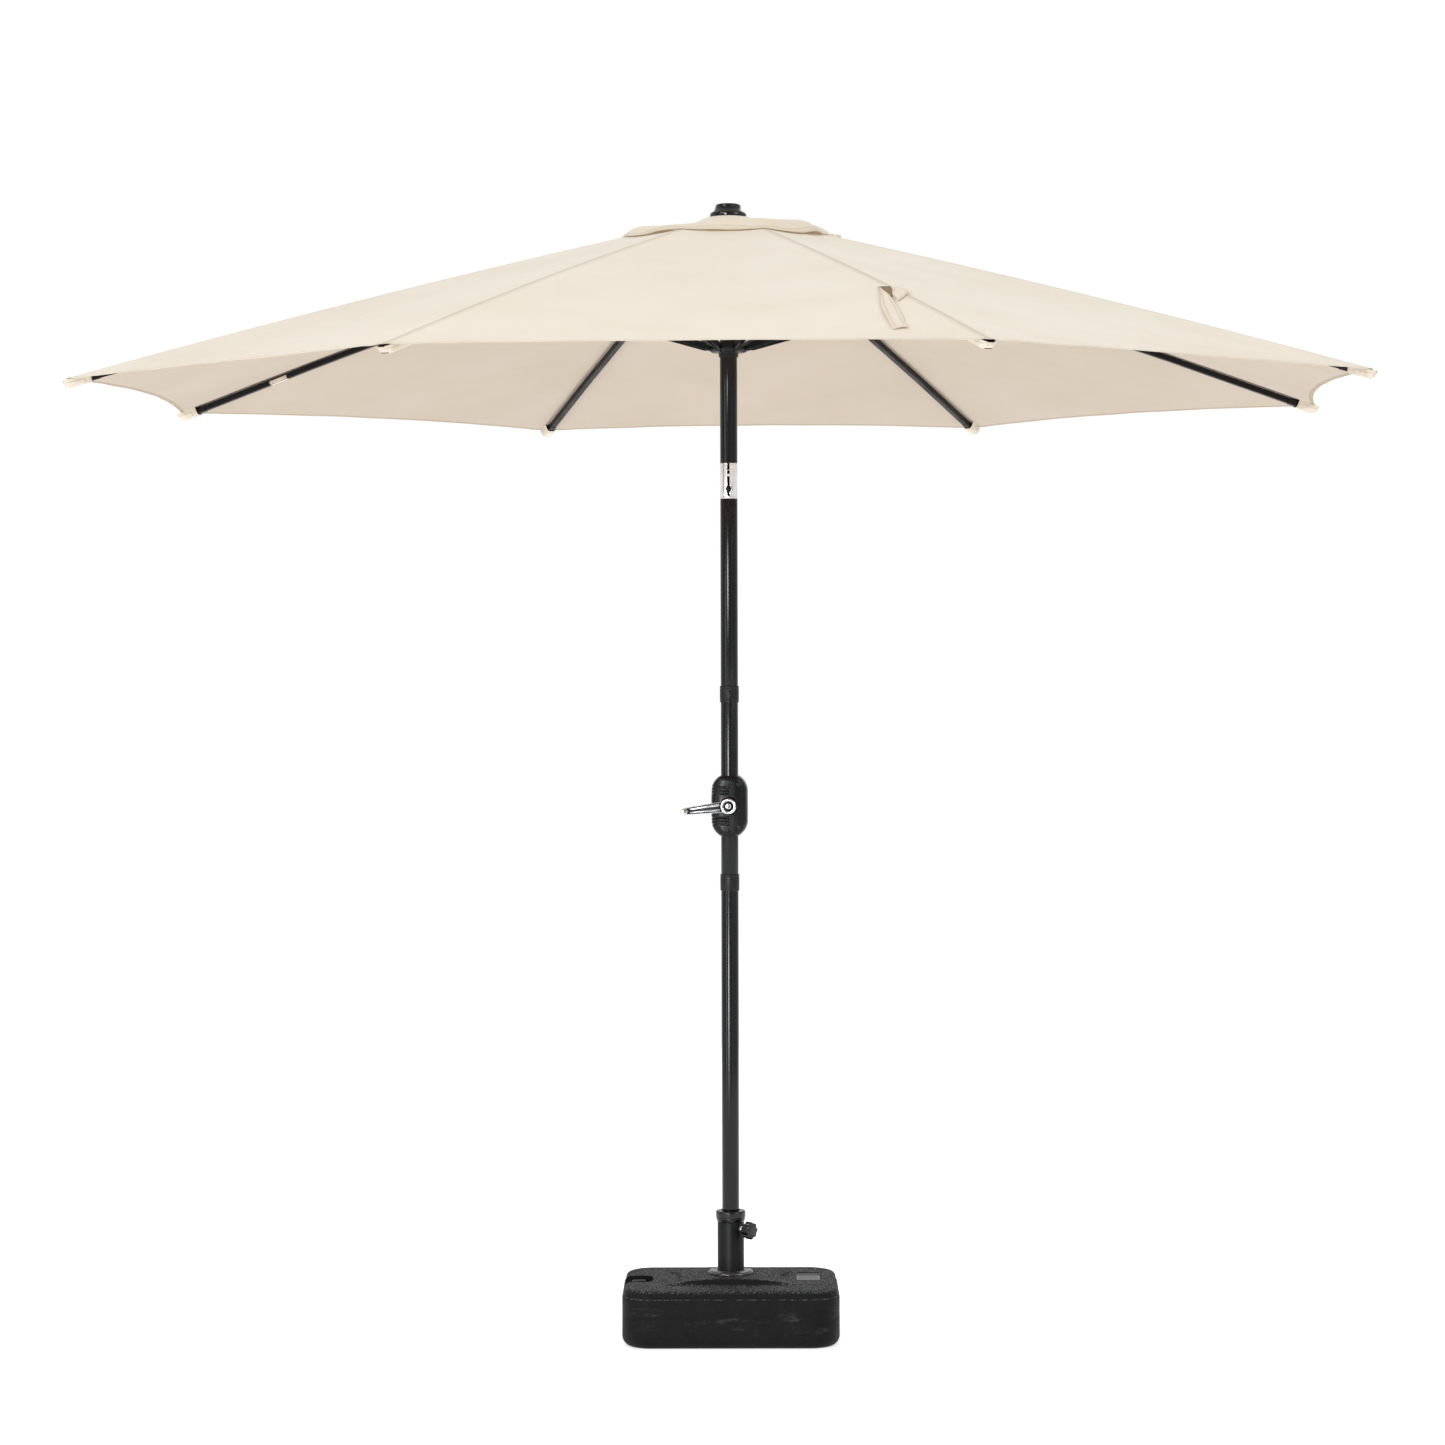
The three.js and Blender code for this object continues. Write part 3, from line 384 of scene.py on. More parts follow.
def make(name, verts, faces, body, material, slot, replaces=(), sharp=32, outward=True, turn=0.0):
    """A smooth-shaded mesh from millimetres, turned about the pole, riding on a body."""
    points = spun(np.asarray(verts, float) * MM, turn)
    mesh = bpy.data.meshes.new(name)
    mesh.from_pydata(points.tolist(), [], [list(map(int, f)) for f in faces])
    if outward:
        work = bmesh.new()
        work.from_mesh(mesh)
        bmesh.ops.recalc_face_normals(work, faces=work.faces)
        work.to_mesh(mesh)
        work.free()
    mesh.polygons.foreach_set("use_smooth", [True] * len(mesh.polygons))
    mesh.set_sharp_from_angle(angle=sharp * RAD)
    mesh.materials.append(material)
    obj = bpy.data.objects.new(name, mesh)
    bpy.context.scene.collection.objects.link(obj)
    if body:
        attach(obj, body)
    if replaces:
        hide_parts(*replaces)
    return obj


def spin(profile, segments=72):
    """A lathed solid. A profile that starts and ends away from the axis closes on itself."""
    verts, rings, faces = [], [], []
    for r, z in profile:
        count = 1 if r < 1e-6 else segments
        rings.append(range(len(verts), len(verts) + count))
        around = np.linspace(0, 2 * math.pi, count, endpoint=False)
        verts += [(r * math.cos(a), r * math.sin(a), z) for a in around]
    if len(rings[0]) > 1 and len(rings[-1]) > 1:
        rings.append(rings[0])
    for a, b in zip(rings, rings[1:]):
        if len(a) == len(b) == 1:
            continue
        for j in range(segments):
            k = (j + 1) % segments
            if len(a) == 1:
                faces.append((a[0], b[k], b[j]))
            elif len(b) == 1:
                faces.append((a[j], a[k], b[0]))
            else:
                faces.append((a[j], a[k], b[k], b[j]))
    return np.array(verts, float), faces


def fillet(points, radius=1.0, steps=3, loop=False):
    """Rounds the corners of a profile."""
    points = [np.array(p, float) for p in points]
    out = []
    for k, p in enumerate(points):
        if not loop and k in (0, len(points) - 1):
            out.append(p)
            continue
        before, after = points[k - 1] - p, points[(k + 1) % len(points)] - p
        cut_b = min(radius, 0.45 * np.hypot(*before))
        cut_a = min(radius, 0.45 * np.hypot(*after))
        start = p + before / np.hypot(*before) * cut_b
        end = p + after / np.hypot(*after) * cut_a
        for t in np.linspace(0, 1, steps + 1):
            out.append((1 - t) ** 2 * start + 2 * t * (1 - t) * p + t * t * end)
    return [tuple(p) for p in out]


def ring_tube(inner, outer, low, high, radius):
    return spin(fillet([(inner, low), (outer, low), (outer, high), (inner, high)], radius, 2, True), 96)


def drum(radius, low, high, segments):
    return spin([(0, low), (radius, low), (radius, high), (0, high)], segments)


def inset(outline, depth):
    """Moves each point of a counter-clockwise outline inwards."""
    outline = np.asarray(outline, float)
    run = np.roll(outline, -1, 0) - np.roll(outline, 1, 0)
    run /= np.maximum(np.hypot(run[:, 0], run[:, 1]), 1e-9)[:, None]
    return outline - depth * np.stack([run[:, 1], -run[:, 0]], 1)


def stack(rings):
    """Rings of equal length joined in order, with the first and last filled."""
    count = len(rings[0])
    faces = [list(range(count))[::-1], list(range((len(rings) - 1) * count, len(rings) * count))]
    for level in range(len(rings) - 1):
        for j in range(count):
            a, b = level * count + j, level * count + (j + 1) % count
            faces.append((a, b, b + count, a + count))
    return np.concatenate(rings), faces


def prism(outline, low, high, bevel=1.0, steps=3):
    """An outline raised from low to high with rounded edges."""
    quarter = np.linspace(0, math.pi / 2, steps + 1)
    levels = [(bevel * (1 - math.sin(a)), low + bevel * (1 - math.cos(a))) for a in quarter]
    levels += [(d, low + high - z) for d, z in reversed(levels)]
    return stack([np.column_stack([inset(outline, d), np.full(len(outline), z)]) for d, z in levels])


def arc(cx, cy, radius, start, end, steps):
    return [(cx + radius * math.cos(a), cy + radius * math.sin(a)) for a in np.linspace(start, end, steps)]


def along_x(shape):
    verts, faces = shape
    return verts[:, [2, 0, 1]], faces


def to_front(shape, x=0.0, z=0.0):
    """Swings a shape built up along +Z so that it points to -Y, at a given x and z."""
    verts, faces = shape
    return np.column_stack([verts[:, 0] + x, -verts[:, 2], verts[:, 1] + z]), faces


def moved(shape, by):
    return shape[0] + np.array(by, float), shape[1]


def joined(*shapes):
    verts, faces, start = [], [], 0
    for points, polygons in shapes:
        verts.append(points)
        faces += [[start + k for k in f] for f in polygons]
        start += len(points)
    return np.concatenate(verts), faces


def block(x0, x1, y0, y1, z0, z1, round_off=0.0):
    outline = [(x0, y0), (x1, y0), (x1, y1), (x0, y1)]
    if round_off:
        outline = fillet(outline, round_off, 5, True)
    return stack([np.column_stack([outline, np.full(len(outline), z)]) for z in (z0, z1)])


def turned(shape, angle):
    return spun(shape[0], angle), shape[1]


def freeze(obj):
    """Applies a piece's modifiers."""
    bpy.context.view_layer.update()
    evaluated = obj.evaluated_get(bpy.context.evaluated_depsgraph_get())
    mesh = bpy.data.meshes.new_from_object(evaluated)
    obj.modifiers.clear()
    obj.data = mesh


def carve(obj, cutters):
    """Cuts shapes from a piece, for good."""
    tools = []
    for shape in cutters:
        tool = make(obj.name + "_tool", shape[0], shape[1], None, BLACK, None)
        tools.append(tool)
        modifier = obj.modifiers.new("cut", "BOOLEAN")
        modifier.object = tool
        modifier.operation = "DIFFERENCE"
        modifier.solver = "EXACT"
    freeze(obj)
    for tool in tools:
        bpy.data.objects.remove(tool)
    obj.data.materials.clear()


def finish_edges(obj, material, width, sharp=32):
    """Gives a carved piece its material, smooth shading and small bevels."""
    obj.data.materials.append(material)
    obj.data.polygons.foreach_set("use_smooth", [True] * len(obj.data.polygons))
    obj.data.polygons.foreach_set("material_index", [0] * len(obj.data.polygons))
    obj.data.set_sharp_from_angle(angle=sharp * RAD)
    soften(obj, width)


def soften(obj, width):
    bevel = obj.modifiers.new("edges", "BEVEL")
    bevel.width = width * MM
    bevel.segments = 2
    bevel.limit_method = "ANGLE"
    bevel.angle_limit = 40 * RAD
    bevel.use_clamp_overlap = True


# ---- camera, light and floor ----
def look(location, target):
    return (Vector(target) - Vector(location)).to_track_quat("-Z", "Y").to_euler()


camera_data = bpy.data.cameras.new("camera")
camera_data.lens = 87.41
camera_data.sensor_width = 36
camera = bpy.data.objects.new("camera", camera_data)
camera.location = (0, -7.735, 1.544)
camera.rotation_euler = (88.626 * RAD, 0.15 * RAD, 0.11 * RAD)
bpy.context.scene.collection.objects.link(camera)
bpy.context.scene.camera = camera


def area_light(name, location, target, size, power):
    data = bpy.data.lights.new(name, "AREA")
    data.shape = "RECTANGLE"
    data.size, data.size_y = size
    data.energy = power
    lamp = bpy.data.objects.new(name, data)
    lamp.location = location
    lamp.rotation_euler = look(location, target)
    bpy.context.scene.collection.objects.link(lamp)


area_light("key", (-3.8, -4.6, 5.0), (0, 0, 1.8), (2.5, 2.5), 190)
area_light("fill", (4.8, -3.4, 4.4), (0, 0, 1.8), (2.5, 2.5), 130)
area_light("back", (0.5, 4.6, 5.0), (0, 0, 1.8), (4.0, 2.5), 90)
area_light("side_strip", (-5.2, -4.0, 1.25), (0, 0, 1.25), (0.9, 2.4), 30)

# Mirrored rays see a studio: an even grey, a bright tube for the pole's line and darker flags.
AMBIENT = 0.54
STUDIO = 0.80
TUBE = 26.0
TUBE_BEARING = -0.31
FLAGS = ((-1.24, 0.10, 0.14, 0.5), (0.12, 0.20, 0.16, 0.35), (1.15, 0.25, 0.3, 0.15))

world = bpy.data.worlds.new("studio")
world.use_nodes = True
sky = world.node_tree.nodes["Background"]
studio = Graph(world.node_tree)
path = studio.node("LightPath").outputs
east, north, up = studio.split(studio.node("TexCoord").outputs["Generated"])
bearing = studio.math("ARCTAN2", east, studio.times(north, -1.0))
tube = studio.times(studio.remap(up, -0.13, 0.05, 0.0, TUBE), studio.remap(up, 0.11, 0.22, 1.0, 0.0))
tube = studio.times(tube, studio.band(bearing, TUBE_BEARING, 0.08, 0.05))
mirrored = studio.plus(tube, STUDIO)
for centre, half, soft, dim in FLAGS:
    flag = studio.times(studio.band(bearing, centre, half, soft), dim)
    mirrored = studio.minus(mirrored, flag)
strength = studio.times(path["Is Glossy Ray"], studio.minus(mirrored, AMBIENT))
strength = studio.plus(strength, AMBIENT)
strength = studio.plus(strength, studio.times(path["Is Camera Ray"], 1.0 - AMBIENT))
studio.put(sky.inputs["Strength"], strength)
sky.inputs["Color"].default_value = (1, 1, 1, 1)
bpy.context.scene.world = world
bpy.context.scene.view_settings.view_transform = "Standard"
bpy.context.scene.view_settings.look = "None"

floor_shade = Shade("floor_paint", Specular_IOR_Level=0.1, Emission_Color=(1, 1, 1, 1),
                    Emission_Strength=0.50)
floor_tint = floor_shade.mix(floor_shade.noise(floor_shade.coords(), 0.8), tone("f4f4f4"), tone("f9f9f9"))
floor_material = floor_shade.done(floor_tint, 0.9)
FLOOR_HALF = 5500
floor_plan = [(x * FLOOR_HALF, y * FLOOR_HALF, 0) for x, y in ((-1, -1), (1, -1), (1, 1), (-1, 1))]
floor = make("floor", floor_plan, [(0, 1, 2, 3)], None, floor_material, None, outward=False)


# ---- base tank ----
TANK_CORNER = 65
CORNER_X = 173
CORNER_Y = 93.5
TANK_TOP = 127
TANK_LIP = 16
HUMP_RISE = 14
HUMP_REACH = 146
HUMP_WAIST = 112
HUMP_SIDE = 79
HUMP_STEEP = 3.5
SEAT_RADIUS = 56
WELL_RADIUS = 29.6
FILLER = (-203, 0, 0)


def tank_outline(depth):
    """The tank's plan, inset by a depth, with its long and short sides divided evenly."""
    ring = []
    for k, (sx, sy) in enumerate([(1, 1), (-1, 1), (-1, -1), (1, -1)]):
        start, end = k * math.pi / 2, (k + 1) * math.pi / 2
        ring += arc(sx * CORNER_X, sy * CORNER_Y, TANK_CORNER - depth, start, end, 26)
    dense = []
    for p, q in zip(ring, ring[1:] + ring[:1]):
        run, rise = q[0] - p[0], q[1] - p[1]
        pieces = 1
        if math.hypot(run, rise) >= 40:
            pieces = 50 if abs(run) > abs(rise) else 30
        dense += [(p[0] + run * t / pieces, p[1] + rise * t / pieces) for t in range(pieces)]
    return np.array(dense)


def ease(x):
    x = np.clip(x, 0.0, 1.0)
    return x * x * (3 - 2 * x)


def hump_height(x, y):
    """The arched rise round the foot tube, narrower at its waist, with short steep sides."""
    radius = (HUMP_REACH ** 2 + HUMP_RISE ** 2) / (2 * HUMP_RISE)
    arch = np.sqrt(np.maximum(radius ** 2 - x ** 2, 0)) - (radius - HUMP_RISE)
    spread = (np.clip(np.abs(y), 0, HUMP_SIDE) / HUMP_SIDE) ** 2
    limit = HUMP_WAIST + (HUMP_REACH - HUMP_WAIST) * spread
    walls = ease((HUMP_SIDE - np.abs(y)) / HUMP_STEEP) * ease((limit - np.abs(x)) / HUMP_STEEP)
    seat = HUMP_RISE * ease((SEAT_RADIUS - np.hypot(x, y)) / 6)
    return np.maximum(np.maximum(arch, 0) * walls, seat)


def flat_ring(plan, z):
    """A plan of x and y raised to a height, one for all or one each."""
    return np.column_stack([plan, np.broadcast_to(z, len(plan))])


# Each level of the wall is an inset from the tank's full plan and a height.
levels = [(20, 0), (13.5, 1.2), (9, 3.4), (5.6, 6.6), (3, 10), (1.1, 14.5), (0, 20), (0, 42), (0, 65),
          (0.35, 66), (0.35, 67), (0, 68), (0, 86), (0, 104), (0.3, 106.8), (1.2, 108.6), (2.6, 110.4),
          (3.6, 112.6), (3.8, 115), (3.9, 117.6), (4.8, 120.6), (7.4, 123.8), (11, 125.9),
          (TANK_LIP, TANK_TOP)]
rings = [flat_ring(tank_outline(depth), z) for depth, z in levels]
for share in np.linspace(0, 1, 74)[1:-1]:
    plan = tank_outline(TANK_LIP) * (1 - share)
    rings.append(flat_ring(plan, TANK_TOP + hump_height(plan[:, 0], plan[:, 1])))
tank = make("tank", *stack(rings), "base", TANK, "tank_plastic", ["base_tank"])
carve(tank, [
    drum(WELL_RADIUS, 15, 160, 64),
    # the filler's open recess and its hole
    block(-260, -172, -40, 40, 108, 160, 26),
    moved(drum(14, 92, 125, 40), FILLER),
    # the plate's recess, with a slot behind it
    block(146, 197, -14, 70, 124, 150, 4),
    block(147, 196, 69.5, 75, 118, 150, 2),
    # the notch in the right-hand wall
    block(235, 245, -70, -50, 69, 77, 1.5),
])
finish_edges(tank, TANK, 1.4, 40)

plug = [(0, 103.5), (13.6, 103.5), (13.6, 108.3), (19, 108.3), (19, 116), (16.5, 118), (0, 118)]
wing = fillet([(-15, -3.5), (15, -3.5), (15, 3.5), (-15, 3.5)], 3.2, 5, True)
plug_cap = joined(spin(fillet(plug, 1.2), 96), prism(wing, 115, 124.5, 1.2))
make("plug_cap", *moved(plug_cap, FILLER), "fill_plug", CAP, "black_plastic", ["fill_plug"])

foot = [(WELL_RADIUS, 141.3), (49, 141.3), (49, 143.4), (45.5, 147.4), (42, 148.3), (38, 146.4),
        (33.5, 146.2), (32, 148.3), (WELL_RADIUS, 148.3)]
make("foot_flange", *spin(fillet(foot, 1.6, 4, True), 96), "base", RING, "gloss_black", ["foot_ring"])
make("foot_tube", *ring_tube(27.3, 29.3, 15.3, 254.7, 0.8), "base", POST, "pole_paint", ["post_tube"])
collar = fillet([(19.4, 215), (27, 215), (27, 255), (30.4, 255), (31.4, 259), (32.6, 262.5), (32.2, 264),
                 (33, 265.5), (33, 276.4), (31, 279.4), (22, 279.4), (19.4, 277.4)], 1.1, 3, True)
make("clamp_collar", *spin(collar, 96), "base", GLOSS, "gloss_black", ["post_collar"])


def on_clamp(name, shape, body, material, slot, replaces):
    return make(name, *moved(shape, (0, 0, CLAMP_Z)), body, material, slot, replaces, turn=CLAMP_TURN)


hexagon = [(9 * math.cos(a), 9 * math.sin(a)) for a in np.linspace(0, 2 * math.pi, 6, endpoint=False)]
on_clamp("hex_nut", along_x(prism(hexagon, 29.8, 37, 0.7)), "base", BRIGHT, "bright_metal", ["clamp_nut"])
thread = [(0, 19.4), (3.2, 19.4)]
for k in range(28):
    thread += [(3.3, 20 + 1.25 * k), (3.95, 20.6 + 1.25 * k)]
thread += [(3.3, 55.4), (3.2, 56), (0, 56)]
on_clamp("screw_thread", along_x(spin(thread, 40)), "clamp_screw", DARK_METAL, "bright_metal",
         ["clamp_screw"])
lobes = []
for a in np.linspace(0, 2 * math.pi, 192, endpoint=False):
    reach = 18.3 + 1.2 * math.cos(8 * a)
    lobes.append((reach * math.cos(a), reach * math.sin(a)))
knob = joined(
    along_x(prism(lobes, 46, 64, 3.2, 6)),
    along_x(spin(fillet([(0, 41), (9, 41), (9.6, 47), (0, 47)], 0.8), 64)),
    along_x(spin(fillet([(0, 63.5), (12.5, 63.5), (11, 64.8), (0, 65.2)], 0.8), 64)),
)
on_clamp("star_knob", knob, "clamp_knob", GLOSS, "gloss_black", ["clamp_knob"])


# ---- pole and couplers ----
POLE_RADIUS = 19
POLE_BORE = 17.6
SLEEVE_LENGTH = 36.3

for name, low, high, node in [
    ("pole_low", 24.3, 1004, "lower_pole"),
    ("pole_mid", 1007.6, 1419.1, "mid_pole"),
    ("pole_high", 1422.7, 1850.9, "upper_pole"),
]:
    make(name, *ring_tube(POLE_BORE, POLE_RADIUS, low, high, 0.4), "mast", POLE, "pole_paint", [node])
make("pole_top", *ring_tube(POLE_BORE, POLE_RADIUS, 1929.6, 2446, 0.4), "mast_top", POLE,
     "pole_paint", ["top_pole"])
for name, low, node in [("sleeve_low", 987.6, "lower_coupler"), ("sleeve_high", 1402.7, "upper_coupler")]:
    high = low + SLEEVE_LENGTH
    sleeve = [(19.2, low), (20.4, low), (21, low + 1.2), (21, low + 4), (20.6, low + 4.6), (20.6, low + 5.6),
              (21, low + 6.2), (21, high - 6.2), (20.6, high - 5.6), (20.6, high - 4.6), (21, high - 4),
              (21, high - 1.2), (20.4, high), (19.2, high)]
    make(name, *spin(fillet(sleeve, 0.3, 2, True), 96), "mast", BLACK, "black_plastic", [node])


# ---- crank box ----
BOX_LOW = 1108.5
BOX_HIGH = 1242.1
BOX_WIDE = 40
BOX_DEEP = 32
BOX_JOINT = 0.4
BOX_ROUND = 2 / 3.5
BOX_END = 4.9
BOX_TAPER = 0.28
TAPER_RUN = 18
GROOVES = (1216, 1209, 1202, 1149, 1142, 1135)
GROOVE_HALF = 1.7
GROOVE_DEPTH = 1.3


def crank_half(side):
    """Half of the rounded box, from its joint outwards; the left half has three grooves above and below."""
    rings = []
    a = np.linspace(-math.pi / 2, math.pi / 2, 49)
    for z in np.linspace(BOX_LOW + 0.4, BOX_HIGH - 0.4, 150):
        near = min(z - BOX_LOW, BOX_HIGH - z) + BOX_END
        short = max(0.0, BOX_WIDE - near)
        wide = math.sqrt(BOX_WIDE ** 2 - short ** 2)
        deep = BOX_DEEP * (1 - BOX_TAPER * (max(0.0, TAPER_RUN - near) / TAPER_RUN) ** 2)
        dip = sum(math.exp(-((z - g) / GROOVE_HALF) ** 2) for g in GROOVES) if side < 0 else 0.0
        wide, deep = wide - GROOVE_DEPTH * dip, deep - GROOVE_DEPTH * dip
        x = BOX_JOINT + (wide - BOX_JOINT) * np.abs(np.cos(a)) ** BOX_ROUND
        y = deep * np.sign(np.sin(a)) * np.abs(np.sin(a)) ** BOX_ROUND
        rings.append(np.column_stack([side * x, y, np.full(len(a), z)]))
    return stack(rings)


for side, word in ((-1, "left"), (1, "right")):
    half = make(f"crank_shell_{word}", *crank_half(side), "mast", SHELL, "black_plastic",
                [f"crank_box_{word}"], turn=TURN)
    cutters = [turned(drum(19.3, 1090, 1260, 72), TURN)]
    if side > 0:
        for z in (BOX_LOW + 20, BOX_HIGH - 20):
            cutters.append(turned(to_front(drum(4.7, 27.5, 60, 32), 20, z), TURN))
    carve(half, cutters)
    finish_edges(half, SHELL, 0.6, 38)
boss = spin(fillet([(0, 28), (20, 28), (20, 33), (18, 36), (18, 44.4), (17, 45.4), (0, 45.4)], 0.9), 96)
make("crank_boss", *to_front(boss, 0, CRANK_Z), "mast", SHELL, "black_plastic", turn=TURN)


# ---- crank arm and grip ----
def swung(shape):
    """From the arm's own frame, +X along the arm, to its place beside the box."""
    verts, faces = shape
    c, n = math.cos(CRANK_SWING), math.sin(CRANK_SWING)
    return np.column_stack([c * verts[:, 0] - n * verts[:, 2], verts[:, 1],
                            n * verts[:, 0] + c * verts[:, 2] + CRANK_Z]), faces


EYE_RADIUS = 13
END_RADIUS = 7.5
lean = math.asin((EYE_RADIUS - END_RADIUS) / CRANK_REACH)
arm_plan = arc(0, 0, EYE_RADIUS, math.pi / 2 - lean, 1.5 * math.pi + lean, 40)
arm_plan += arc(CRANK_REACH, 0, END_RADIUS, -math.pi / 2 + lean, math.pi / 2 - lean, 28)
rail_end = CRANK_REACH - 10
rail_high = fillet([(19, 3.0), (rail_end, 2.0), (rail_end, 4.6), (19, 8.2)], 1.2, 3, True)
rail_low = [(x, -y) for x, y in reversed(rail_high)]
eye = [(0, 45.8), (16, 45.8), (17, 47.5), (17, 56.8), (15.4, 58.2), (12.2, 58.2), (11, 56.4), (10.4, 54.4),
       (6.5, 54.2), (6.2, 56.2), (5.2, 57), (0, 57)]
arm = joined(
    to_front(prism(arm_plan, 47, 55.2, 1.4)),
    to_front(prism(rail_high, 54.6, 57.2, 0.9)),
    to_front(prism(rail_low, 54.6, 57.2, 0.9)),
    to_front(spin(fillet(eye, 0.7), 96)),
    to_front(spin(fillet([(0, 54), (6.6, 54), (6.6, 57.4), (0, 57.4)], 0.8), 64), CRANK_REACH),
    to_front(drum(3, 55, 88, 32), CRANK_REACH),
)
make("crank_lever", *swung(arm), "crank", BRIGHT, "bright_metal", ["crank_arm"], turn=TURN)
# A dark plate between the rails and in the eye's recess: painted shade in the arm's gaps and recess.
gap_shade = joined(
    to_front(prism(inset(arm_plan, 1.3), 54.9, 55.6, 0.2)),
    to_front(spin(fillet([(6.0, 54.3), (10.9, 54.3), (10.9, 55.9), (6.0, 55.9)], 0.2, 2, True), 64)),
)
make("crank_gap_shade", *swung(gap_shade), "crank", DARK_METAL, "bright_metal", turn=TURN)
grip = [(3.3, 58.2), (5.6, 58.2), (7.2, 60.5), (7.4, 63)]
grip += [(6.7 + 0.35 * math.cos(k * math.pi) + 0.5 * ((k - 9) / 9) ** 2, 65 + 1.5 * k) for k in range(19)]
grip += [(6.2, 95), (4.2, 97.3), (0, 98), (0, 90)]
make("crank_handle", *swung(to_front(spin(grip, 64), CRANK_REACH)), "crank_grip", BRIGHT,
     "bright_metal", ["crank_grip"], turn=TURN)


# ---- tilt knuckle ----
SPIGOT = 17.3
CUP_ARC = 50.6
FORK_ARC = 50
FORK_ANGLE = 0.9273
TONGUE_RADIUS = 11
TONGUE_HALF = 2.3
SLOT_HALF = 2.7


def across(outline, half, bevel):
    """An outline in y and z given a thickness to both sides, along x."""
    return along_x(prism(outline, -half, half, bevel))


def drop_plan(radius):
    """Round above, drawn down to a point, about the button's centre."""
    return arc(0, BUTTON_Z, radius, -25 * RAD, 205 * RAD, 40) + [(0, BUTTON_Z - radius * 2.1)]


cup = [(0, 1817), (SPIGOT, 1817), (SPIGOT, 1851.2), (POLE_RADIUS, 1851.2), (POLE_RADIUS, 1861), (0, 1861)]
lower_cup = make("knuckle_low", *spin(fillet(cup, 0.5), 96), "mast", KNUCKLE, "bright_metal", ["tilt_base"])
carve(lower_cup, [moved(along_x(drum(CUP_ARC, -30, 30, 180)), (0, 0, PIN_Z))])
finish_edges(lower_cup, KNUCKLE, 0.3)
tongue_plan = [(-TONGUE_RADIUS, 1845), (TONGUE_RADIUS, 1845)] + arc(0, PIN_Z, TONGUE_RADIUS, 0, math.pi, 40)
make("knuckle_tongue", *across(tongue_plan, TONGUE_HALF, 0.3), "mast", GAP, "rib_paint", turn=TURN)
web = block(-TONGUE_HALF, TONGUE_HALF, -16, 16, PIN_Z + 12.5, 1950)
make("knuckle_web", *web, "mast_top", GAP, "rib_paint", turn=TURN)

stem = [(0, 1840), (POLE_RADIUS, 1840), (POLE_RADIUS, 1929.3), (SPIGOT, 1929.3), (SPIGOT, 1961), (0, 1961)]
fork = make("knuckle_fork", *spin(fillet(stem, 0.7), 96), "mast_top", KNUCKLE, "bright_metal", ["tilt_fork"])
below = [(-30, 1830), (30, 1830)] + arc(0, PIN_Z, FORK_ARC, -FORK_ANGLE, -math.pi + FORK_ANGLE, 60)
carve(fork, [turned(shape, TURN) for shape in (
    across(below, 25, 0),
    block(-SLOT_HALF, SLOT_HALF, -25, 25, 1840, 1929),
    to_front(drum(10.5, 17.9, 30, 48), 0, BUTTON_Z - 1),
    to_front(prism(drop_plan(6.5), 11, 30, 0)),
)])
finish_edges(fork, KNUCKLE, 0.5, 38)
button = to_front(prism(drop_plan(6.2), 14.6, 20.8, 1.6))
make("push_button", *button, "tilt_button", BUTTON, "gloss_black", ["tilt_button"], turn=TURN)
pin = spin(fillet([(0, -17.4), (2.4, -17.4), (3, -16.8), (3, 16.8), (2.4, 17.4), (0, 17.4)], 0.4), 40)
make("knuckle_pin", *moved(along_x(pin), (0, 0, PIN_Z)), "mast_top", KNUCKLE, "bright_metal",
     ["tilt_pin"], turn=TURN)
bead = spin(fillet([(0, 15.5), (3.3, 15.5), (3.3, 19.2), (2.4, 20.6), (0, 21.2)], 0.8), 40)
make("knuckle_bead", *to_front(bead, 0, PIN_Z), "mast_top", KNUCKLE, "bright_metal", turn=TURN)


# ---- hub, runner and finial ----
def rib_turn(i):
    """The bearing of a rib, counted from the front left one."""
    return TURN + (i * 45 - 22.5 - 90) * RAD


def slot_cutters(low, high):
    return [turned(block(31.5, 55, -2.5, 2.5, low, high), rib_turn(i)) for i in range(RIBS)]


hub_plan = [(0, 2446.5), (19.3, 2446.5), (19.3, 2424), (24, 2424), (24, 2442), (26, 2444), (46, 2444),
            (46, 2459), (43, 2462), (0, 2462)]
hub = make("hub", *spin(fillet(hub_plan, 0.7), 96), "mast_top", BLACK, "black_plastic", ["top_hub"])
carve(hub, slot_cutters(2440, 2459.4))
finish_edges(hub, BLACK, 0.4)
runner_plan = [(19.6, 2162), (21, 2162), (21.5, 2163), (21.5, 2170.5), (22.5, 2171.8)]
runner_plan += arc(34, RUNNER_Z, 8.2, -math.pi / 2, math.pi / 2, 9)
runner_plan += [(31, 2189), (30, 2192), (29, 2195), (19.6, 2195)]
runner = make("slider", *spin(runner_plan, 96), "runner", BLACK, "black_plastic", ["runner"])
carve(runner, slot_cutters(2168, 2200))
finish_edges(runner, BLACK, 0.4)
hat = [(0, 2462.3), (5, 2462.3), (5, 2469.5), (40, 2469.5), (40, 2475.2), (38.2, 2478.4), (33.6, 2482.4),
       (29.8, 2486.8), (28, 2491), (27, 2495.4), (25, 2497.4), (22, 2497.4), (20.5, 2496.6), (0, 2497)]
make("finial_cap", *spin(fillet(hat), 96), "mast_top", GLOSS, "gloss_black", ["finial"], turn=TURN)


# ---- canopy ----
def ridge(r):
    run = TIP_RADIUS - r
    return TIP_HEIGHT + RIB_SLOPE * run - RIB_BOW * run * run


def under(r, depth):
    """The point a given depth below the seam, square to it."""
    fall = RIB_SLOPE - 2 * RIB_BOW * (TIP_RADIUS - r)
    length = math.hypot(1, fall)
    return r - depth * fall / length, ridge(r) - depth / length


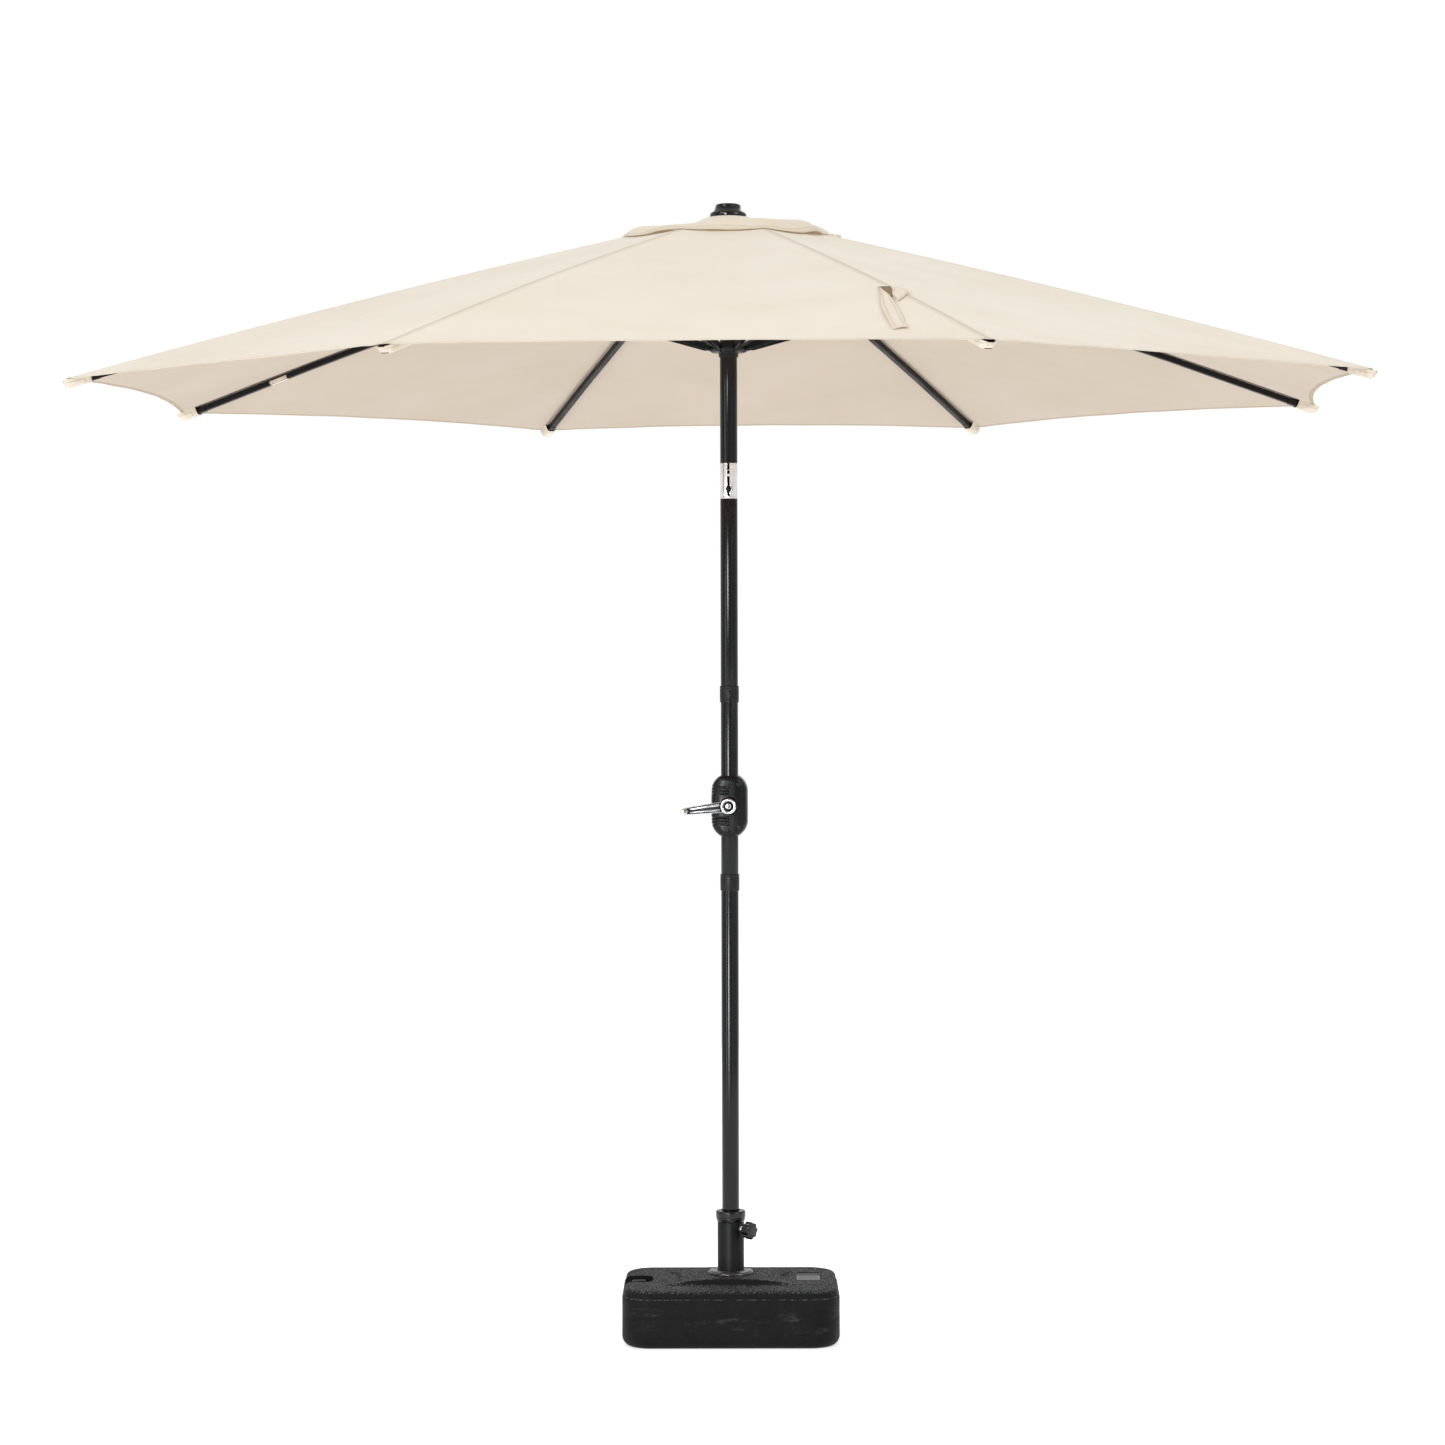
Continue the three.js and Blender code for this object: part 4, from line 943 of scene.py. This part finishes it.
def ripple(points, scale, seed):
    """Smooth noise by place, so that neighbouring pieces agree along their shared edges."""
    return np.array([noise.noise(Vector((p[0] * scale + seed, p[1] * scale, 0.3 * seed))) for p in points])


def cloth_grid(name, points, cloth, edge, shape, body, sides, slot, replaces=(), thick=CLOTH_THICK):
    """A sheet from a grid of points, with the distances that its weave, seams and hem are drawn from.
    sides are its outer and inner materials. Gives the piece and its area."""
    rows, columns = shape
    faces = []
    for i in range(rows - 1):
        for j in range(columns - 1):
            a = i * columns + j
            faces.append((a, a + 1, a + columns + 1, a + columns))
    if cross_up(points, faces[len(faces) // 2]) < 0:
        faces = [f[::-1] for f in faces]
    obj = make(name, points, faces, body, sides[0], slot, replaces, sharp=60, outward=False)
    obj.data.materials.append(sides[1])
    for key, values in (("cloth", cloth), ("edge", edge)):
        data = np.zeros((len(points), 3), np.float32)
        data[:, :2] = np.asarray(values) * MM
        obj.data.attributes.new(key, "FLOAT_VECTOR", "POINT").data.foreach_set("vector", data.ravel())
    solid = obj.modifiers.new("thickness", "SOLIDIFY")
    solid.thickness = thick
    solid.offset = -1
    solid.material_offset = 1
    area = sum(p.area for p in obj.data.polygons)
    freeze(obj)
    obj.data.set_sharp_from_angle(angle=60 * RAD)
    return obj, area


def cross_up(points, face):
    a, b, c = (points[k] for k in face[:3])
    return np.cross(b - a, c - b)[2]


def fold_with(obj):
    """Gives a piece its own copy of its mesh."""
    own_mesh(obj)


# Distances from the hem and the seam at which the cloth has a row of points, for its folded edges.
NEAR_HEM = [0, 1.2, 3, 5, 7.6, 9.2, 10.4, 13]
NEAR_SEAM = [0, 1.2, 3, 6, 9.5, 11, 12.6, 16]


def gore_surface(side, rows=52, columns=26):
    """Half of a gore, from its seam to the middle of the panel, in the rib's own frame."""
    spare = np.linspace(0, 1, columns - len(NEAR_SEAM) + 1)[1:]
    hem_part = np.linspace(0, 1, rows - len(NEAR_HEM) + 1)[1:] ** 1.05
    grid = []
    for i in range(rows):
        for j in range(columns):
            k = 0.0
            for _ in range(5):
                edge = TIP_RADIUS - HEM_SAG * (1 - (1 - k) ** 2)
                if i < len(NEAR_HEM):
                    rho = edge - NEAR_HEM[i]
                else:
                    start = edge - NEAR_HEM[-1]
                    rho = start - (start - VENT_HOLE) * hem_part[i - len(NEAR_HEM)]
                half = rho * SIN_HALF
                if j < len(NEAR_SEAM):
                    w = NEAR_SEAM[j]
                else:
                    w = NEAR_SEAM[-1] + (half - NEAR_SEAM[-1]) * spare[j - len(NEAR_SEAM)]
                k = w / half
            grid.append((rho, w, k, edge - rho))
    rho, w, k, hem = np.array(grid).T
    sag = PANEL_SAG * (1 - (1 - k) ** 2) * ease((rho - VENT_HOLE) / 450)
    felled = 0.6 * ease((12.4 - w) / 1.6)
    hemmed = 0.7 * ease((10.3 - hem) / 1.2)
    pinch = 0.5 * np.exp(-w / 3.0)
    height = ridge(rho) - sag + felled + hemmed - pinch
    local = np.column_stack([rho - w * SIN_HALF, side * w * COS_HALF, height])
    return local, np.column_stack([side * w, rho]), np.column_stack([w, hem]), (rows, columns)


def half_gore(i, side):
    local, cloth, edge, shape = gore_surface(side)
    points = spun(local, rib_turn(i))
    rho = cloth[:, 1]
    free = np.clip(edge[:, 0] / 60, 0, 1)
    lift = 1.1 * ripple(points, 0.009, 3.1) + 2.0 * ripple(points, 0.022, 8.7) * ease((520 - rho) / 320)
    tug = 0.9 * np.sin(edge[:, 0] / 9.0) * np.exp(-edge[:, 1] / 90) * np.exp(-((edge[:, 0] - 40) / 32) ** 2)
    points[:, 2] += free * lift + tug
    name = f"panel_{i + 1}_{'left' if side < 0 else 'right'}"
    obj, area = cloth_grid(name, points, cloth, edge, shape, f"rib_{i + 1}", CANOPY, "canopy_cloth",
                           [f"canopy_{i + 1}"])
    fold_with(obj)


NO_SEAM = 400.0


def strip(name, i, sections, cloth_width, cloth_length, body, sides, slot, thick, replaces=()):
    """A band of cloth through cross-sections given in a rib's own frame, or in the part's if i is None."""
    rows, columns = len(sections), len(sections[0])
    local = np.array([p for row in sections for p in row], float)
    u = np.tile(np.linspace(0, cloth_width, columns), rows)
    v = np.repeat(np.linspace(0, cloth_length, rows), columns)
    ends = np.minimum(v, cloth_length - v)
    edge = np.column_stack([np.full(len(u), NO_SEAM), np.minimum(np.minimum(u, cloth_width - u), ends)])
    if i is not None:
        local = spun(local, rib_turn(i))
    return cloth_grid(name, local, np.column_stack([u, v]), edge, (rows, columns),
                      body, sides, slot, replaces, thick)


POCKET_END = 1455
POCKET_MOUTH = 1402
LONG_MOUTH = 1345
CAP_INSETS = ((1382, 1.4), (1383.2, 0.4), (1398, 0.4), (1425, 0.4), (1435, 0.4), (1437, 1.4))


def tip_pocket(i):
    """The doubled patch that the rib's end sits in, open towards the pole; the two front ones are longer.
    A black cap on the rib's end sits inside it."""
    sections = []
    mouth = LONG_MOUTH if i < 2 else POCKET_MOUTH
    length = POCKET_END - mouth
    for t in np.concatenate([np.linspace(0, 0.72, 12), 1 - 0.25 * np.linspace(1, 0, 12) ** 1.6]):
        r = mouth + length * t
        close = 1 - math.sqrt(1 - min(1.0, max(0.0, (t - 0.76) / 0.24)) ** 2)
        row = []
        for a in np.linspace(-1, 1, 21):
            swing = abs(a)
            half = (14.5 - 3.5 * math.sin(swing * math.pi)) * (1 - 0.35 * close)
            y = math.copysign(min(1.0, swing / 0.62) ** 0.8 * half, a) if a else 0.0
            drop = 3.0 + (17.4 - 15.5 * close) * (1 - max(0.0, (swing - 0.35) / 0.65) ** 1.1)
            x, z = under(r, drop)
            row.append((min(x, POCKET_END), y, z + 0.8))
        sections.append(row)
    rib = f"rib_{i + 1}"
    obj, _ = strip(f"tip_pocket_{i + 1}", i, sections, 70, length, rib, CANOPY[:1] * 2, "canopy_cloth",
                   CLOTH_THICK)
    plan = fillet([(-7.4, 0), (7.4, 0), (7.4, 15.4), (-7.4, 15.4)], 2.6, 4, True)
    cap_rings = []
    for r, shrink in CAP_INSETS:
        ring = []
        for y, depth in inset(plan, shrink):
            x, z = under(r, 3.4 + depth)
            ring.append((x, y, z))
        cap_rings.append(np.array(ring))
    make(f"rib_cap_{i + 1}", *stack(cap_rings), rib, BLACK, "black_plastic", turn=rib_turn(i))


def rivets(i):
    """Domed heads on both ends of the pin between a rib and its stretcher."""
    head = spin(fillet([(0, 4.3), (4.2, 4.3), (4.0, 5.4), (2.6, 6.4), (0, 6.8)], 0.5), 32)
    front = to_front(head, RIB_PIVOT_R, RIB_PIVOT_Z)
    back = front[0] * [1, -1, 1], front[1]
    make(f"rivet_{i + 1}", *joined(front, back), f"rib_{i + 1}", BRIGHT, "bright_metal", turn=rib_turn(i))


for i in range(RIBS):
    for side in (-1, 1):
        half_gore(i, side)
    tip_pocket(i)
    rivets(i)


# ---- vent flap ----
FLAP_PIECES = 24
FLAP_INNER = 8
FINIAL_RADIUS = 39
# Where the hem lifts: azimuth, width and height. DENT is where it is pressed in.
LIFTS = [(-0.70, 0.14, 6), (-0.13, 0.15, 4), (0.84, 0.16, 5.5), (2.4, 0.2, 5), (-2.3, 0.22, 6)]
DENT = (-0.66, 0.45, 13)


def cover(r, azimuth):
    """The height of the canopy's seams and panels under a point of the flap."""
    away = (azimuth - TURN + HALF_PANEL) % (2 * HALF_PANEL) - HALF_PANEL
    away = np.abs(np.abs(away) - HALF_PANEL)
    return ridge(r * (np.cos(away) + np.sin(away) * math.tan(HALF_PANEL)))


def swell(azimuth, centre, width, rise):
    """A soft rise at one azimuth."""
    gap = (azimuth - centre + math.pi) % (2 * math.pi) - math.pi
    return rise * np.exp(-((gap / width) ** 2))


def flap_height(r, azimuth):
    """Bell under the finial, nearly flat beyond, with a wavy hem. Azimuth runs from front to right."""
    bell = 17.2 * np.exp(-(((r - FINIAL_RADIUS) / 33) ** 2))
    skirt = 2451.5 - 0.035 * (r - 40) - 29 * (np.maximum(0, r - 188) / 50) ** 2
    base = np.where(r < FINIAL_RADIUS, 2469.2, skirt + bell)
    base = base - swell(azimuth, *DENT) * ease((r - 85) / 100) * ease((FLAP_RADIUS - r) / 50)
    free = ease((r - 120) / 125)
    waves = 1.5 * np.sin(8 * azimuth + 0.6) + 1.0 * np.sin(13 * azimuth + 2.0) + 0.7 * np.sin(21 * azimuth)
    lifts = sum(swell(azimuth, *lift) for lift in LIFTS)
    floor_height = np.where(r > 125, cover(r, azimuth) + 2.2, 0)
    return np.maximum(base + free ** 2 * (waves + lifts), floor_height)


def flap_reach(azimuth):
    return FLAP_RADIUS - 5 + 2.5 * np.sin(8 * azimuth + 1.9) + 1.5 * np.sin(5 * azimuth)


def gather(obj):
    """Gives a piece of the flap its own copy of its mesh."""
    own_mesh(obj)


FLAP_HEM = [0, 1.2, 3, 5, 7.6, 9.2, 10.6, 14]
for piece in range(FLAP_PIECES):
    middle = (piece + 0.5) * 2 * math.pi / FLAP_PIECES
    sweep = np.linspace(-math.pi / FLAP_PIECES, math.pi / FLAP_PIECES, 11) + middle
    reach = flap_reach(sweep)
    radii = [reach - hem for hem in FLAP_HEM]
    radii += [radii[-1] - (radii[-1] - FLAP_INNER) * share for share in np.linspace(0, 1, 34)[1:]]
    rows = []
    for r in radii:
        hem = reach - r
        z = flap_height(r, sweep) + 0.7 * ease((10.5 - hem) / 1.2)
        rows.append(np.column_stack([r * np.sin(sweep), -r * np.cos(sweep), z, r, hem]))
    grid = np.concatenate(rows)
    cloth = grid[:, :2]
    edge = np.column_stack([np.full(len(grid), NO_SEAM), grid[:, 4]])
    obj, area = cloth_grid(f"vent_{piece + 1}", grid[:, :3], cloth, edge, (len(rows), len(sweep)),
                           "mast_top", VENT, "vent_cloth", ["vent_cap"] if piece == 0 else ())
    gather(obj)

ROLL_AT = 1.47
roll_rows = []
for t in np.linspace(0, 1, 12):
    r = 222 + 26 * t
    row = []
    for a in np.linspace(0, 2.6 * math.pi, 40):
        size = 7.2 - 0.5 * a + 0.4 * math.sin(5 * t + 2 * a)
        aside = size * math.sin(a) + 3 * t
        height = 2424.5 - 2.5 * t - size * math.cos(a)
        row.append((r * math.sin(ROLL_AT) + aside * math.cos(ROLL_AT),
                    -r * math.cos(ROLL_AT) + aside * math.sin(ROLL_AT), height))
    roll_rows.append(row)
roll, _ = strip("vent_roll", None, roll_rows, 40, 26, "mast_top", VENT, "vent_cloth", 0.0008)
gather(roll)


# ---- closing strap and rib loop ----
def on_panel(rho, w, lift):
    """A point over the panels beside rib 2's seam; w is its distance to the left of the seam."""
    away = abs(w)
    sag = PANEL_SAG * (1 - (1 - away / (rho * SIN_HALF)) ** 2)
    return np.array([rho - away * SIN_HALF, -w * COS_HALF, ridge(rho) - sag + lift])


def strap_piece(name, left, right, arch, sides, replaced=()):
    """A leaf of cloth between two edges, each a list of (rho, distance from the seam, lift)."""
    t = np.linspace(0, 1, 30)
    stops = np.linspace(0, 1, len(left))
    left, right = (np.column_stack([np.interp(t, stops, row) for row in np.array(edge, float).T])
                   for edge in (left, right))
    sections = []
    for k in range(len(t)):
        row = []
        for a in np.linspace(0, 1, 11):
            rho, w, lift = left[k] * (1 - a) + right[k] * a
            crease = 0.5 * math.sin(11 * t[k] + 5 * a)
            row.append(on_panel(rho, w, max(2.3, lift + 4 * arch * a * (1 - a) + crease)))
        sections.append(row)
    middle = (left + right)[:, :2] / 2
    length = float(np.sum(np.hypot(*np.diff(middle, axis=0).T)))
    width = float(np.max(np.hypot(*(left - right)[:, :2].T)))
    obj, area = strip(name, 1, sections, width, length, "rib_2", sides, "vent_cloth", 0.0011, replaced)
    fold_with(obj)


strap_piece("strap_long",
            [(982, 29, 2.4), (1024, 42, 2.4), (1086, 66, 2.4), (1149, 88, 2.4), (1210, 104, 2.4),
             (1280, 122, 2.4), (1350, 140, 2.4)],
            [(983, 27, 3), (1048, 36, 4.4), (1108, 49, 4.4), (1170, 62, 3.4), (1225, 77, 3),
             (1282, 93, 2.8), (1340, 106, 3)],
            1.5, VENT, ["closing_strap"])
strap_piece("strap_short",
            [(980, 4, 2.4), (1008, 13, 2.4), (1030, 22, 2.4), (1052, 30, 2.4)],
            [(1008, -25, 4.5), (1046, -2, 4.5), (1080, 20, 4), (1112, 42, 3)],
            1.8, VENT)
# The root is a small sheet of that dark brown cloth: a painted shadow under the strap's fold.
strap_piece("strap_root_painted_shadow",
            [(968, 26, 2), (998, 30, 2), (1030, 37, 2), (1064, 45, 2)],
            [(968, 3, 2.3), (998, 10, 2.3), (1026, 19, 2.3), (1060, 31, 2.3)],
            0, SHADED)

loop_rows = []
for t in np.linspace(0, 1, 9):
    r = 1152 + 46 * t
    low = 16.6 + 2 * r / TIP_RADIUS
    row = []
    for a in np.linspace(0, 1, 25):
        turn_a = math.pi * (a * 2 - 1)
        y = 8.0 * math.sin(turn_a) * (1 + 0.12 * math.cos(2 * turn_a))
        depth = 2.5 + (low - 2.5) * (0.5 + 0.5 * math.cos(turn_a)) ** 0.6
        x, z = under(r, depth)
        row.append((x, y, z))
    loop_rows.append(row)
loop, _ = strip("rib_band", 6, loop_rows, 64, 46, "rib_7", CANOPY[:1] * 2, "vent_cloth", 0.0010,
                ["rib_loop"])


def dress(name, material, width=0.0):
    node = nodes[name]
    node.data.materials.clear()
    node.data.materials.append(material)
    if width:
        soften(node, width)


for i in range(1, RIBS + 1):
    dress(f"rib_{i}", RIB, 0.5)
    dress(f"stretcher_{i}", RIB, 0.35)
for name in ("crank_shaft", "hub_wire", "runner_wire"):
    dress(name, BRIGHT, 0.15)
dress("crank_box_screw", DARK_METAL, 0.15)
dress("post_bush", BLACK, 0.3)
dress("base_plate", PLATE, 0.5)
dress("water_fill", WATER)
